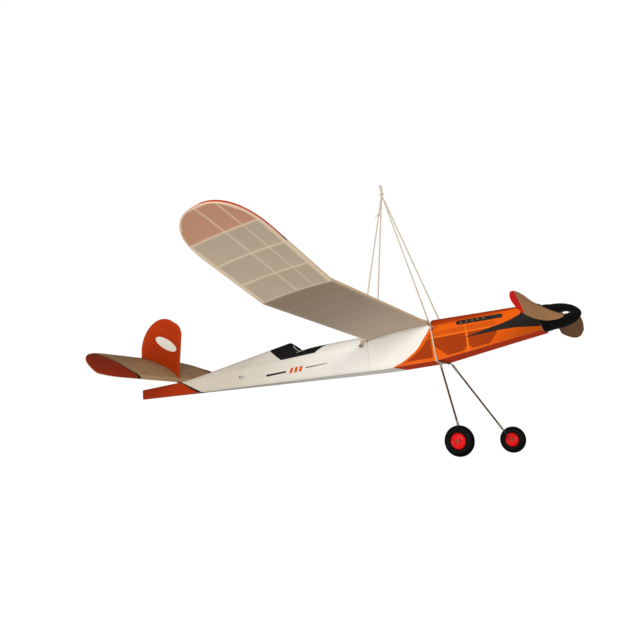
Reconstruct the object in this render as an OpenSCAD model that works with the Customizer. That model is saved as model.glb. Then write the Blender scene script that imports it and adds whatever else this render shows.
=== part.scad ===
// Rubber-powered free-flight model aeroplane, hung on a cord harness.
// +X is forward, +Y is to port, +Z is up. The origin lies on the ground under the wheels' lowest
// points, in the plane of symmetry, halfway along the overall length. All sizes are in millimetres.
// A "station" is a distance aft of the spinner's tip.

/* [Overall] */
// Length from the spinner's tip to the end of the tail boom
body_length = 932; // [928:1:936]
// Side of the square balsa sticks in the fuselage frame
stick = 3; // [2.5:0.1:3.2]
// Thickness of the doped covering as modelled
skin = 0.4; // [0.3:0.05:0.4]

/* [Wheels and undercarriage] */
// Diameter of the balloon tyres
wheel_d = 44.45; // [42:0.05:46]
// Diameter of the red hubs
hub_d = 23.6; // [22:0.1:25]
// Width of the tyres
tyre_w = 15.2; // [14:0.1:16]
// Distance between the two wheels' middles
wheel_track = 240; // [230:1:250]
// Station of the axles
axle_station = 170; // [160:1:180]
// Diameter of the bamboo legs
leg_d = 3; // [2.8:0.1:3.4]
// Diameter of the steel wire in axles, cross wire and propeller shaft
wire_d = 1.6; // [1.4:0.1:1.6]

/* [Wing] */
// Chord of the wing
wing_chord = 114.8; // [112:0.1:118]
// Station of the wing's leading edge
wing_station = 234.4; // [234:0.1:236]
// Length of one inner panel, from the centre to the dihedral break
inner_span = 319.8; // [310:0.1:330]
// Length of one tip panel along its own span
tip_span = 202; // [198:1:206]
// Upward angle of the inner panels
inner_dihedral = 3.84; // [3.5:0.02:4]
// Upward angle of the tip panels
tip_dihedral = 19.46; // [16:0.02:21]
// Nose-up angle of the wing on the fuselage
wing_incidence = 3; // [2.8:0.1:3]

/* [Tail] */
// Station of the stabiliser's hinge
hinge_station = 825; // [823:1:827]
// Root chord of the stabiliser
stab_chord = 133; // [128:1:136]
// Half span of the stabiliser
stab_half_span = 205; // [200:1:210]
// Angle of the popped-up tail above the fuselage datum
tail_pop_angle = 32; // [28:1:36]

/* [Propeller] */
// Radius of the propeller
prop_r = 205; // [195:1:210]
// Geometric pitch of the blades
prop_pitch = 350; // [320:1:400]
// Largest chord of a blade
blade_chord = 42; // [38:1:46]
// Height of the thrust line above the ground
thrust_z = 195; // [194.5:0.1:195.5]
// Nose-down angle of the propeller's shaft in the nose plug
down_thrust = 2.5; // [0:0.1:2.6]

/* [Motor and peg] */
// Outside radius of the aluminium tube that anchors the rubber motor
peg_r = 2.4; // [2.3:0.05:2.4]
// Inside radius of that tube, which a winding stooge's pin fits
peg_bore_r = 2; // [1.9:0.05:2]
// Station of the rear motor peg
peg_station = 647; // [645:1:649]

/* [Hanging cord] */
// Diameter of the cotton cord
cord_d = 2.2; // [1.8:0.1:2.2]
// Height of the hanging loop's top above the ground
hook_z = 491; // [480:1:500]

/* [Hidden] */

$fn = 48;
gap = 0.05;                       // running clearance, on the radius
axle_z = wheel_d / 2;
wire_r = wire_d / 2;
cord_r = cord_d / 2;

// colours, as on the finished model
balsa = "burlywood";
orange = "darkorange";
white = "ivory";
tan_tissue = "tan";
dark = "dimgray";

// ---- fuselage tables: [station, value] --------------------------------------------------------
nose_station = 57;                // rear face of the cowl
former_t = 3;                     // thickness of the nose former
stern_l = 7;                      // length of the stern block
plan = [[nose_station, 19.5], [123, 21], [226, 26], [400, 26.5], [hinge_station, 5],
        [body_length, 3.5]];   // half width of the frame
top = [[nose_station, 214.8], [232, 214.6], [350, 209.2], [440, 210.5], [body_length, 210.5]];
bottom = [[nose_station, 175], [226, 156.5], [330, 158], [body_length, 191]];
nose_deck_rise = [[nose_station, 2.6], [101, 6.3], [232, 13.2]];
upright_stations = [123, 173, 231, 290, 351.5, 400, 448, 508, 574, 634, 660, 720, 780];
dowel_r = 1.6;
front_dowel = [225.5, 209.4];     // station and height
rear_dowel = [362.6, 204.3];
dowel_half = 35;
deck_t = 0.8;                     // thickness of the sheet decks
deck_seat = 0.02;                 // the decks stand this far clear of the covering's top edge
headrest_front = [[499, 210.5], [534.9, 248.6]];
headrest_back = [[541.6, 210.5], [585, 244.2]];
stripe_line = [[756, 180], [816, 211]];
stripe_w = 5;

stab_a = 1.4;                     // the stabiliser stands this far aft of its hinge
stab_b = -1;                      // and its underside this far below it
overall = hinge_station + (stab_a + stab_chord) * cos(tail_pop_angle) - stab_b * sin(tail_pop_angle);
function X(station) = overall / 2 - station;
function at(table, station) = lookup(station, table);
function backwards(v) = [for (i = [len(v) - 1 : -1 : 0]) v[i]];
function line(table, down = 0) = [for (p = table) [X(p[0]), p[1] - down]];
function band(upper, upper_down, lower, lower_down) =
    concat(line(upper, upper_down), backwards(line(lower, lower_down)));
function wall(side, from, to) = concat(
    [for (p = plan) [X(p[0]), side * (p[1] + from)]],
    backwards([for (p = plan) [X(p[0]), side * (p[1] + to)]]));
function between(a, b, t) = a + (b - a) * t;

// an outline in side view, as a prism across the fuselage
module side_prism(points, w = 90) rotate([90, 0, 0]) linear_extrude(w, center = true) polygon(points);
// an outline in plan view, as a prism up through the fuselage
module plan_prism(points) translate([0, 0, 120]) linear_extrude(160) polygon(points);
module stations(from, to) translate([X(to), -60, 100]) cube([to - from, 120, 200]);
module walls(depth) for (side = [-1, 1]) plan_prism(wall(side, 0, -depth));
module full_plan(grow) plan_prism(concat(
    [for (p = plan) [X(p[0]), p[1] + grow]],
    backwards([for (p = plan) [X(p[0]), -p[1] - grow]])));
module bays() side_prism(band(top, stick, bottom, -stick));
module slats(list, w) for (s = list) stations(s - w / 2, s + w / 2);
module across(at, r, half) translate([X(at[0]), 0, at[1]]) rotate([90, 0, 0])
    cylinder(r = r, h = 2 * half, center = true);
module dowel_holes() {
    across(front_dowel, dowel_r + gap, 40);
    across(rear_dowel, dowel_r + gap, 40);
    across([peg_station, thrust_z], peg_r + gap, 40);
}

// ---- lofts: rings of the same number of points, joined by triangles; a shell's ring runs out along
// ---- its outer line and back along its inner one --------------------------------------------------
function end_faces(m, shell) = shell
    ? [for (j = [0 : m / 2 - 2]) [j, j + 1, m - 2 - j, m - 1 - j]]
    : [[for (j = [0 : m - 1]) j]];
function loft_faces(m, n, shell) = concat(
    [for (f = end_faces(m, shell)) backwards(f)],
    [for (i = [0 : n - 2], j = [0 : m - 1]) [i * m + j, i * m + (j + 1) % m, (i + 1) * m + j]],
    [for (i = [0 : n - 2], j = [0 : m - 1])
        [(i + 1) * m + j, i * m + (j + 1) % m, (i + 1) * m + (j + 1) % m]],
    [for (f = end_faces(m, shell)) [for (j = f) (n - 1) * m + j]]);
module loft(rings, shell = false)
    polyhedron([for (r = rings) each r], loft_faces(len(rings[0]), len(rings), shell), convexity = 8);

// ---- fuselage frame ---------------------------------------------------------------------------
module longerons() color(balsa) difference() {
    intersection() {
        walls(stick);
        union() {
            side_prism(band(top, 0, top, stick));
            side_prism(band(bottom, -stick, bottom, 0));
        }
    }
    stations(nose_station - 1, nose_station + former_t);
    stations(body_length - stern_l, body_length + 1);
}

module uprights() color(balsa) difference() {
    intersection() {
        walls(stick);
        bays();
        slats(upright_stations, stick);
    }
    dowel_holes();
}

module cross_members() color(balsa) intersection() {
    full_plan(-stick);
    slats(upright_stations, stick);
    union() {
        side_prism(band(top, 0, top, stick));
        side_prism(band(bottom, -stick, bottom, 0));
    }
}

brace_top = [232.5, 201];
brace_foot = [278, 158];
brace_w = 4.5;
module diagonal_braces() color(balsa) intersection() {
    walls(2);
    bays();
    side_prism([[X(brace_top[0]), brace_top[1]], [X(brace_top[0]), brace_top[1] - brace_w],
                [X(brace_foot[0] - brace_w), brace_foot[1]], [X(brace_foot[0]), brace_foot[1]]]);
}

stringer_z = [193.3, 195.7];
module nose_stringers() color(balsa) difference() {
    intersection() {
        walls(2);
        side_prism([[X(124.5), stringer_z[0]], [X(124.5), stringer_z[1]],
                    [X(229.5), stringer_z[1]], [X(229.5), stringer_z[0]]]);
    }
    slats(upright_stations, stick);
}

sheet_t = 1.5;
upper_sheet_z = 204;
gusset = 22;
module nose_sheeting() color(balsa) difference() {
    intersection() {
        walls(sheet_t);
        bays();
        union() {
            stations(nose_station + former_t, 121.5);
            side_prism([[X(124.5), upper_sheet_z], [X(124.5), 216], [X(229.5), 216],
                        [X(229.5), upper_sheet_z]]);
            side_prism([[X(229.5), 150], [X(229.5), 160 + gusset], [X(229.5 - gusset), 160],
                        [X(229.5 - gusset), 150]]);
        }
    }
    slats(upright_stations, stick);
    dowel_holes();
}

module body_block() intersection() {
    full_plan(0);
    side_prism(band(top, 0, bottom, 0));
}

module nose_former() color(balsa) difference() {
    intersection() {
        body_block();
        stations(nose_station, nose_station + former_t);
    }
    translate([X(100), 0, thrust_z]) rotate([0, 90, 0]) cylinder(r = 13, h = 60);
}

module stern_block() color(orange) intersection() {
    body_block();
    stations(body_length - stern_l, body_length);
}

module dowel_plates() color(balsa) difference() {
    intersection() {
        walls(1.2);
        bays();
        side_prism([[X(353.2), 194], [X(353.2), 212], [X(376), 212], [X(376), 194]]);
    }
    dowel_holes();
}

module peg_plates() color(balsa) difference() {
    intersection() {
        walls(sheet_t);
        bays();
        stations(635.5, 658.5);
    }
    dowel_holes();
}

// ---- covering ---------------------------------------------------------------------------------
edge_foot = 310;                  // station where the colour edge meets the bottom
function edge_z(station) = 157 + 0.0355 * pow(max(edge_foot - station, 0), 1.687);
colour_edge = [for (i = [0 : 8]) let (s = between(232, edge_foot, i / 8))
               [X(s), i == 8 ? 150 : i == 0 ? 230 : edge_z(s)]];
function slanted(l, shift, z) =
    X(l[0][0] + (z - l[0][1]) * (l[1][0] - l[0][0]) / (l[1][1] - l[0][1]) + shift);

module tube() difference() {
    intersection() {
        full_plan(skin);
        side_prism(band(top, 0, bottom, skin));
    }
    intersection() {
        full_plan(0);
        side_prism(band(top, -5, bottom, 0));
    }
    dowel_holes();
}

module nose_covering() color(orange) intersection() {
    tube();
    side_prism(concat([[X(nose_station), 150], [X(nose_station), 230]], colour_edge));
}

module rear_covering() color(white) intersection() {
    tube();
    side_prism(concat(backwards(colour_edge),
        [[slanted(stripe_line, 0, 230), 230], [slanted(stripe_line, 0, 150), 150]]));
}

module tail_stripe() color("black") intersection() {
    tube();
    side_prism([for (p = [[0, 150], [0, 230], [stripe_w, 230], [stripe_w, 150]])
                [slanted(stripe_line, p[0], p[1]), p[1]]]);
}

module boom_sheeting() color(orange) {
    intersection() {
        tube();
        side_prism([[slanted(stripe_line, stripe_w, 150), 150],
                    [slanted(stripe_line, stripe_w, 230), 230],
                    [X(body_length), 230], [X(body_length), 150]]);
    }
    intersection() {
        full_plan(skin);
        side_prism(band(top, -skin, top, 0));
        stations(821, body_length);
    }
}

// ---- decks ------------------------------------------------------------------------------------
arch_steps = 10;
function arch(station, rise, inset, lift = 0) = [for (j = [0 : arch_steps])
    let (a = 180 * j / arch_steps)
    [X(station), (at(plan, station) + skin - inset) * cos(a),
     at(top, station) + lift + (rise - inset) * sin(a)]];
module arch_shell(rises, t) loft([for (p = rises)
    concat(arch(p[0], p[1], 0, deck_seat), backwards(arch(p[0], p[1], t, deck_seat)))], true);
module arch_core(rises, inset) loft([for (p = rises) arch(p[0], p[1], inset, gap)]);

module nose_deck() color(orange) arch_shell(
    [for (s = [nose_station, 80, 101, 123, 165, 200, 231.5]) [s, at(nose_deck_rise, s)]], deck_t);

mid_rise = 15;
mid_rises = [for (s = [353.2, 400, 440, 470, 500, 535]) [s, mid_rise]];
paint_line = [[471, 210.5], [441, 226.5]];
sill = [[441, 226.6], [455, 226], [470, 224.6], [487, 222.3], [506.5, 218.8]];

module mid_deck() color(white) intersection() {
    arch_shell(mid_rises, deck_t);
    side_prism([[X(350), 205], [X(350), 240], [slanted(paint_line, 0, 240), 240],
                [slanted(paint_line, 0, 205), 205]]);
}

module cockpit_coaming() color(dark) intersection() {
    arch_shell(mid_rises, deck_t);
    side_prism(concat([[slanted(paint_line, gap, 205), 205]],
        [for (p = sill) [X(p[0] + gap), p[1]]],
        [[slanted(headrest_front, -0.1, 205), 205]]));
}

module cockpit_floor() color(dark) plan_prism_at(210.9, 0.8, 455, 498, -1.4);
module plan_prism_at(z, h, from, to, grow) translate([0, 0, z]) linear_extrude(h) polygon([
    for (p = [[from, 1], [to, 1], [to, -1], [from, -1]])
    [X(p[0]), p[1] * (at(plan, p[0]) + grow)]]);

function ridge(station) = 243.4 - 0.118 * (station - 530) - 210.5;
fairing_rises = [for (s = [499, 530, 575, 620, 680, 740, 797]) [s, ridge(s)]];
module fairing_zone(front, front_shift, back, back_shift) side_prism([
    [slanted(front, front_shift, 205), 205], [slanted(front, front_shift, 250), 250],
    [slanted(back, back_shift, 250), 250], [slanted(back, back_shift, 205), 205]]);

headrest_face_t = 1.5;
module headrest() color(dark) {
    intersection() {
        arch_shell(fairing_rises, deck_t);
        fairing_zone(headrest_front, 0, headrest_back, 0);
    }
    intersection() {
        arch_core(fairing_rises, 0.5);
        fairing_zone(headrest_front, 0, headrest_front, headrest_face_t);
    }
}

pad_z = 229;
module headrest_pad() color("black") {
    lean = atan2(headrest_front[1][0] - headrest_front[0][0],
                 headrest_front[1][1] - headrest_front[0][1]);
    translate([slanted(headrest_front, -0.1, pad_z), 0, pad_z])
        rotate([0, 90 - lean, 0]) cylinder(r = 7.5, h = 3);
}

module turtle_deck() color(white) intersection() {
    arch_shell(fairing_rises, deck_t);
    fairing_zone(headrest_back, gap, [[900, 205], [901, 250]], 0);
}

deck_former_t = 1.5;
module deck_formers() color(balsa) {
    for (s = [62, 123, 173, 228]) deck_former(s, at(nose_deck_rise, s - 1));
    for (s = [355, 400]) deck_former(s, mid_rise);
    for (s = [600, 660, 720]) deck_former(s, ridge(s + 1));
}
module deck_former(station, rise) intersection() {
    translate([X(station) - deck_former_t / 2, 0, 0]) rotate([90, 0, 90])
        linear_extrude(deck_former_t) polygon([for (j = [0 : arch_steps])
            let (a = 180 * j / arch_steps)
            [(at(plan, station) - 1) * cos(a), at(top, station) + 0.1 + (rise - 1.2) * sin(a)]]);
    side_prism([[X(40), 209.5], [X(40), 260], [X(860), 260], [X(860), 209.5]]);
}

// ---- nose details -----------------------------------------------------------------------------
exhaust_line = [[184, 210.6], [115, 208.8]];
exhaust_h = 6.4;
panel_t = 0.5;
module exhaust_panels() color("black") {
    for (side = [-1, 1]) intersection() {
        plan_prism(wall(side, skin + 0.02, skin + panel_t));
        side_prism(rounded_bar(exhaust_line, exhaust_h / 2));
    }
}
function rounded_bar(l, r) = concat(
    [for (a = [90 : 30 : 270]) [X(l[0][0]) + r * cos(a), l[0][1] + r * sin(a)]],
    [for (a = [270 : 30 : 450]) [X(l[1][0]) + r * cos(a), l[1][1] + r * sin(a)]]);
stub_stations = [178.3, 169.2, 160, 151, 141.7];
module exhaust_stubs() color(tan_tissue) for (s = stub_stations, side = [-1, 1])
    translate([X(s), side * (at(plan, s) + skin + panel_t + 0.1), 209.9])
        rotate([-90 * side, 0, 0]) difference() {
            cylinder(r = 1.3, h = 2.2);
            translate([0, 0, 0.6]) cylinder(r = 0.9, h = 3);
        }

cowl_front = 45;
spigot = 18;
module cowl() color("black") difference() {
    translate([X(nose_station), 0, thrust_z]) rotate([0, 90, 0])
        cylinder(r1 = 21, r2 = 20.2, h = nose_station - cowl_front);
    translate([X(nose_station) - 1, -spigot / 2 - 0.1, thrust_z - spigot / 2 - 0.1])
        cube([nose_station, spigot + 0.2, spigot + 0.2]);
}

flange_t = 1.6;
bush_r = 2.5;
thrust_pivot = [X(cowl_front - flange_t), 0, thrust_z];
module thrust_frame() translate(thrust_pivot) rotate([0, down_thrust, 0]) translate(-thrust_pivot)
    children();
module nose_plug() color(balsa) difference() {
    union() {
        translate([X(cowl_front) + 0.02, 0, thrust_z]) rotate([0, 90, 0])
            cylinder(r = 19.8, h = flange_t);
        translate([X(nose_station), -spigot / 2, thrust_z - spigot / 2])
            cube([nose_station - cowl_front + 0.5, spigot, spigot]);
    }
    thrust_frame() translate([X(nose_station) - 2, 0, thrust_z]) rotate([0, 90, 0])
        cylinder(r = bush_r, h = 40);
}
module shaft_bush() color("gold") thrust_frame() translate([X(nose_station), 0, thrust_z])
    rotate([0, 90, 0]) difference() {
        cylinder(r = bush_r - 0.01, h = nose_station - cowl_front + flange_t + 0.4);
        translate([0, 0, -1]) cylinder(r = wire_r + gap, h = 40);
    }

// ---- propeller --------------------------------------------------------------------------------
back_station = 42.2;              // rear face of the spinner's backplate
back_t = 1.4;
spinner_r = 19.5;
function spinner_at(t) = spinner_r * pow(max(1 - pow(t, 2.1), 0), 0.56);
spinner_steps = 12;
spinner_front = back_station - back_t;
module spinner() color("black") thrust_frame() difference() {
    translate([X(spinner_front), 0, thrust_z]) rotate([0, 90, 0]) rotate_extrude() difference() {
        polygon(concat([[0, 0]], [for (i = [0 : spinner_steps]) let (t = sin(90 * i / spinner_steps))
                [spinner_at(t), spinner_front * t]]));
        polygon(concat([[0, -1], [spinner_r - 2, -1]], [for (i = [0 : spinner_steps])
                let (t = sin(90 * i / spinner_steps))
                [max(spinner_at(t) - 2, 0), (spinner_front - 3) * t]]));
    }
    translate([0, 0, thrust_z]) for (turn = [0, 180]) rotate([turn + blade_turn, 0, 0]) blade_slot();
}
// the cut-out that a blade's root passes through: along the blade's chord, outwards, and across
slot = [19, 16, 3.2];
module blade_slot() translate([X(blade_rake[0][1]), -hub_r - slot[1] / 2, 0])
    rotate([0, 90 - atan2(prop_pitch, 2 * PI * (hub_r + slot[1] / 2)), 0])
    translate([0, 0, 0.6]) cube(slot, center = true);
module spinner_backplate() color(balsa) thrust_frame() translate([X(back_station), 0, thrust_z])
    rotate([0, 90, 0]) difference() {
        cylinder(r = spinner_r, h = back_t);
        translate([0, 0, -1]) cylinder(r = wire_r + 0.02, h = 5);
    }

hub_r = 8;
hub_l = 22;
module prop_hub() color(balsa) thrust_frame() translate([X(spinner_front - 0.02), 0, thrust_z])
    rotate([0, 90, 0]) difference() {
        cylinder(r = hub_r, h = hub_l);
        translate([0, 0, -1]) cylinder(r = wire_r + 0.02, h = 60);
    }

// chord of a blade, as a share of its largest chord, against radius as a share of the tip's
blade_plan = [[(hub_r + gap) / prop_r, 0.225], [0.08, 0.32], [0.15, 0.62], [0.25, 0.84],
              [0.4, 0.97], [0.55, 1], [0.7, 0.96], [0.82, 0.85], [0.91, 0.66], [0.96, 0.46],
              [0.99, 0.24], [1, 0.1]];
blade_rake = [[0, 28], [0.08, 28], [0.4, 40], [1, 42]];   // station of the blade's middle
blade_turn = 1.6;                 // rest position of the propeller, in degrees
function blade_ring(p) = let (r = p[0] * prop_r, c = p[1] * blade_chord,
        pitch = atan2(prop_pitch, 2 * PI * max(r, 9)), t = max(0.09 * c * (1.15 - p[0]), 0.7))
    [for (q = [[-0.5, -0.05], [0, 0.15], [0.5, -0.05], [0.5, 0.15], [0.3, 0.7], [0, 1],
               [-0.3, 0.75], [-0.5, 0.15]])
        let (along = q[0] * c, up = q[1] * t)
        [X(at(blade_rake, p[0])) - along * sin(pitch) + up * cos(pitch),
         -r, along * cos(pitch) + up * sin(pitch)]];
module blade() loft([for (p = blade_plan) blade_ring(p)]);
module prop_blades() color("peru") thrust_frame() translate([0, 0, thrust_z])
    for (turn = [0, 180]) rotate([turn + blade_turn, 0, 0]) blade();

hook_station = 73.5;
hook_r = 4.5;
module prop_shaft() color("silver") thrust_frame() {
    translate([X(hook_station - hook_r), 0, thrust_z]) rotate([0, 90, 0])
        cylinder(r = wire_r, h = hook_station - hook_r - 24);
    translate([X(hook_station), 0, thrust_z]) rotate([0, 0, 5])
        rotate_extrude(angle = 300) translate([hook_r, 0]) circle(wire_r);
}
module thrust_washers() color("gold") thrust_frame() for (i = [0, 1])
    translate([X(42.85 - i * 0.33), 0, thrust_z]) rotate([0, 90, 0]) difference() {
        cylinder(r = 3, h = 0.28);
        translate([0, 0, -1]) cylinder(r = wire_r + gap, h = 3);
    }

// ---- rubber motor -----------------------------------------------------------------------------
strand_r = 1.5;
loop_r = 4;
front_loop = hook_station + 6;
motor_l = peg_station - front_loop;
hook_rise = (hook_station - cowl_front + flange_t) * sin(down_thrust);
module rubber_motor() color("saddlebrown") translate([X(peg_station), 0, thrust_z])
    rotate([0, -atan2(hook_rise, motor_l), 0]) for (turn = [0, 180])
    translate([turn == 0 ? motor_l : 0, 0, 0]) rotate([90, 0, turn]) {
        rotate([0, 0, -90]) rotate_extrude(angle = 180) translate([loop_r, 0]) circle(strand_r);
        translate([0, loop_r, 0]) rotate([0, -90, 0]) cylinder(r = strand_r, h = motor_l);
    }

module rear_motor_peg() color("silver") difference() {
    across([peg_station, thrust_z], peg_r, at(plan, peg_station) + 1.6);
    across([peg_station, thrust_z], peg_bore_r, 60);
}

// ---- wing: u is aft of the leading edge, v is out along the span, w is up ----------------------
lead_h = 4;                       // height of the leading edge
trail_h = 2.2;
camber = 0.070;                   // rise of the upper surface, as a share of the chord
hollow = 0.022;                   // rise of the lower surface
wing_skin = 0.3;
spar_u = [0.22, 0.46];
spar_w = 3;
spar_h = [5, 4];
brace_t = 1;
wing_root_z = 215.3;
mitre = (tip_dihedral - inner_dihedral) / 2;
te_w = 7;
function hump(t) = 2.598 * sqrt(max(t, 0)) * (1 - t);
function upper(t, c, k = camber) = between(lead_h, trail_h, t) + k * c * hump(t);
function lower(t, c) = 4 * hollow * c * t * (1 - t);
function aerofoil(c, inset) = concat(
    [for (i = [0 : 12]) let (t = pow(i / 12, 1.6), u = inset + t * (c - 2 * inset))
        [-u, upper(t, c) - inset]],
    [for (i = [6 : -1 : 0]) let (t = i / 6, u = inset + t * (c - 2 * inset))
        [-u, lower(t, c) + inset]]);

module span_prism(from, to) translate([0, to, 0]) rotate([90, 0, 0])
    linear_extrude(to - from) children();
module wing_frame() translate([X(wing_station), 0, wing_root_z]) rotate([0, -wing_incidence, 0]) {
    children();
    mirror([0, 1, 0]) children();
}
joint_gap = 0.03;                 // the glue line at the dihedral breaks
module inner(root = joint_gap) intersection() {
    rotate([inner_dihedral, 0, 0]) children();
    rotate([inner_dihedral, 0, 0]) translate([0, inner_span, 0]) rotate([mitre, 0, 0])
        translate([-200, -inner_span - 20, -60]) cube([300, inner_span + 20 - joint_gap, 120]);
    translate([-200, root, -60]) cube([300, 700, 220]);
}
module tip() intersection() {
    rotate([inner_dihedral, 0, 0]) translate([0, inner_span, 0])
        rotate([tip_dihedral - inner_dihedral, 0, 0]) children();
    rotate([inner_dihedral, 0, 0]) translate([0, inner_span, 0]) rotate([mitre, 0, 0])
        translate([-200, joint_gap, -60]) cube([300, tip_span + 20, 120]);
}

// plan of the tip panel
bow_from = 115;                   // where the outline starts to curve in
tip_middle = 50;                  // chordwise place of the tip's furthest point
function bow(v) = max((v - bow_from) / (tip_span - bow_from), 0);
function tip_lead(v) = tip_middle * (1 - pow(1 - pow(bow(v), 2.6), 0.42));
function tip_trail(v) = wing_chord - (wing_chord - tip_middle) * (1 - pow(1 - pow(bow(v), 2.4), 0.45));

le_w = 4.5;
module le_section() polygon([[-0.35, 0.45], [-0.35, lead_h - 0.35], [-le_w, lead_h + 0.6],
                             [-le_w, 0.75]]);
module le_bar(length) span_prism(-2, length) le_section();
module wing_leading_edge() color(balsa) wing_frame() {
    inner() le_bar(inner_span + 3);
    tip() le_bar(bow_from);
}
module te_section() polygon([[-wing_chord + te_w, 1.0], [-wing_chord + te_w, 3.05],
                             [-wing_chord + 0.35, 1.85], [-wing_chord + 0.35, 0.4]]);
module wing_trailing_edge() color(balsa) wing_frame() {
    inner() span_prism(-2, inner_span + 3) te_section();
    tip() span_prism(-3, bow_from) te_section();
}
module spar_section(i, grow) translate([-spar_u[i] * wing_chord - spar_w - grow,
                                  lower(spar_u[i], wing_chord) + wing_skin + 0.12 - grow])
    square([spar_w + 2 * grow, spar_h[i] + 2 * grow]);
module wing_spars() color(balsa) wing_frame() for (i = [0, 1]) {
    inner() span_prism(-2, inner_span + 3) spar_section(i, 0);
    tip() span_prism(-3, 165) spar_section(i, 0);
}
module brace_section() translate([-spar_u[0] * wing_chord - spar_w - 0.02 - brace_t,
                                  lower(spar_u[0], wing_chord) + wing_skin + 0.45])
    square([brace_t, 4.4]);
module dihedral_braces() color(balsa) wing_frame() {
    inner(-5) span_prism(-2, 32) brace_section();
    inner() span_prism(inner_span - 32, inner_span + 3) brace_section();
    tip() span_prism(-3, 32) brace_section();
}
rib_t = 1.6;
root_rib = 24.5;
module rib_section(from_u, to_u) difference() {
    intersection() {
        polygon(aerofoil(wing_chord, wing_skin + 0.05));
        translate([-to_u, -5]) square([to_u - from_u, 40]);
    }
    for (i = [0, 1]) spar_section(i, 0.03);
    translate([-brace_t - 0.05, 0]) spar_section(0, 0.03);
}
module wing_ribs() color(balsa) wing_frame() {
    for (k = [0 : 6]) let (v = root_rib + k * (inner_span - 3 - root_rib) / 6)
        rotate([inner_dihedral, 0, 0]) span_prism(v - rib_t / 2, v + rib_t / 2)
            rib_section(le_w + 0.1, wing_chord - te_w - 0.1);
    for (v = [49, 98]) rotate([inner_dihedral, 0, 0]) translate([0, inner_span, 0])
        rotate([2 * mitre, 0, 0]) span_prism(v - rib_t / 2, v + rib_t / 2)
            rib_section(le_w + 0.1, wing_chord - te_w - 0.1);
    rotate([inner_dihedral, 0, 0]) translate([0, inner_span, 0]) rotate([2 * mitre, 0, 0])
        span_prism(147, 148.5) difference() {
            intersection() {
                polygon(tip_section(149.5, wing_skin + 0.2));
                translate([-tip_trail(149.5) + 8, -5]) square([tip_trail(149.5) - 18, 40]);
            }
            for (i = [0, 1]) spar_section(i, 0.03);
        }
}

function tip_section(v, inset) = let (a = tip_lead(v), c = tip_trail(v) - a, s = c / wing_chord)
    concat(
    [for (i = [0 : 12]) let (t = pow(i / 12, 1.6), u = a + inset + t * (c - 2 * inset))
        [-u, between(between(2.8, lead_h, s), trail_h, t) + camber * c * hump(t) - inset]],
    [for (i = [6 : -1 : 0]) let (t = i / 6, u = a + inset + t * (c - 2 * inset))
        [-u, lower(t, c) * (1 - pow(bow(v), 2)) + inset]]);
tip_stations = [2.4, bow_from, 135, 152, 168, 181, 190, 196, 199.5, 201.4];
module tip_loft(inset) loft([for (v = tip_stations)
    let (vv = v == 2.4 || v < 201 ? v : v - inset)
    [for (p = tip_section(v, inset)) [p[0], v == tip_stations[0] ? v - inset * 20 : vv, p[1]]]]);
module wing_tip_covering() color(tan_tissue) wing_frame()
    rotate([inner_dihedral, 0, 0]) translate([0, inner_span, 0]) rotate([2 * mitre, 0, 0])
        difference() {
            tip_loft(0);
            tip_loft(wing_skin);
        }
module wing_covering() color(tan_tissue) wing_frame()
    inner() span_prism(-2, inner_span + 3) difference() {
        polygon(aerofoil(wing_chord, 0));
        polygon(aerofoil(wing_chord, wing_skin));
    }

bow_steps = 10;
function bow_points(shrink, from) = [for (i = [0 : bow_steps]) let (q = sin(90 * i / bow_steps),
        v = between(from, tip_span - 2.2 - shrink, q)) [v, tip_lead(v) + 1.8 + shrink],
    for (i = [bow_steps - 1 : -1 : 0]) let (q = sin(90 * i / bow_steps),
        v = between(from, tip_span - 2.2 - shrink, q)) [v, tip_trail(v) - 1.8 - shrink]];
module wing_tip_bows() color(balsa) wing_frame()
    rotate([inner_dihedral, 0, 0]) translate([0, inner_span, 0]) rotate([2 * mitre, 0, 0])
        translate([0, 0, 0.9]) linear_extrude(1.1) rotate(90) difference() {
            polygon(bow_points(0, bow_from + 0.1));
            polygon(bow_points(4, bow_from - 4));
        }

// ---- wing fixing ------------------------------------------------------------------------------
module wing_dowels() color("sienna") {
    across(front_dowel, dowel_r, dowel_half);
    across(rear_dowel, dowel_r, dowel_half);
}
band_w = 2.4;
band_t = 0.9;
band_y = 31.5;
function band_line(over) = let (a = wing_incidence) concat(
    [[X(front_dowel[0]) + 0.6 + over, front_dowel[1]]],
    [for (i = [0 : 12]) let (t = pow(i / 12, 1.6), u = t * wing_chord,
        w = upper(t, wing_chord) + (i == 0 || i == 12 ? 0.9 : 0.5) + over)
        [X(wing_station) + (i == 0 ? 0.9 + over : i == 12 ? -0.9 - over : 0) - u * cos(a) - w * sin(a),
         wing_root_z + band_y * tan(inner_dihedral) - u * sin(a) + w * cos(a)]],
    [[X(rear_dowel[0]) - 0.6 - over, rear_dowel[1]]]);
module wing_bands() color("burlywood") for (side = [-1, 1]) difference() {
    translate([0, side * band_y, 0])
        side_prism(concat(band_line(band_t), backwards(band_line(0))), band_w);
    across(front_dowel, dowel_r + gap, 40);
    across(rear_dowel, dowel_r + gap, 40);
}

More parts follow.
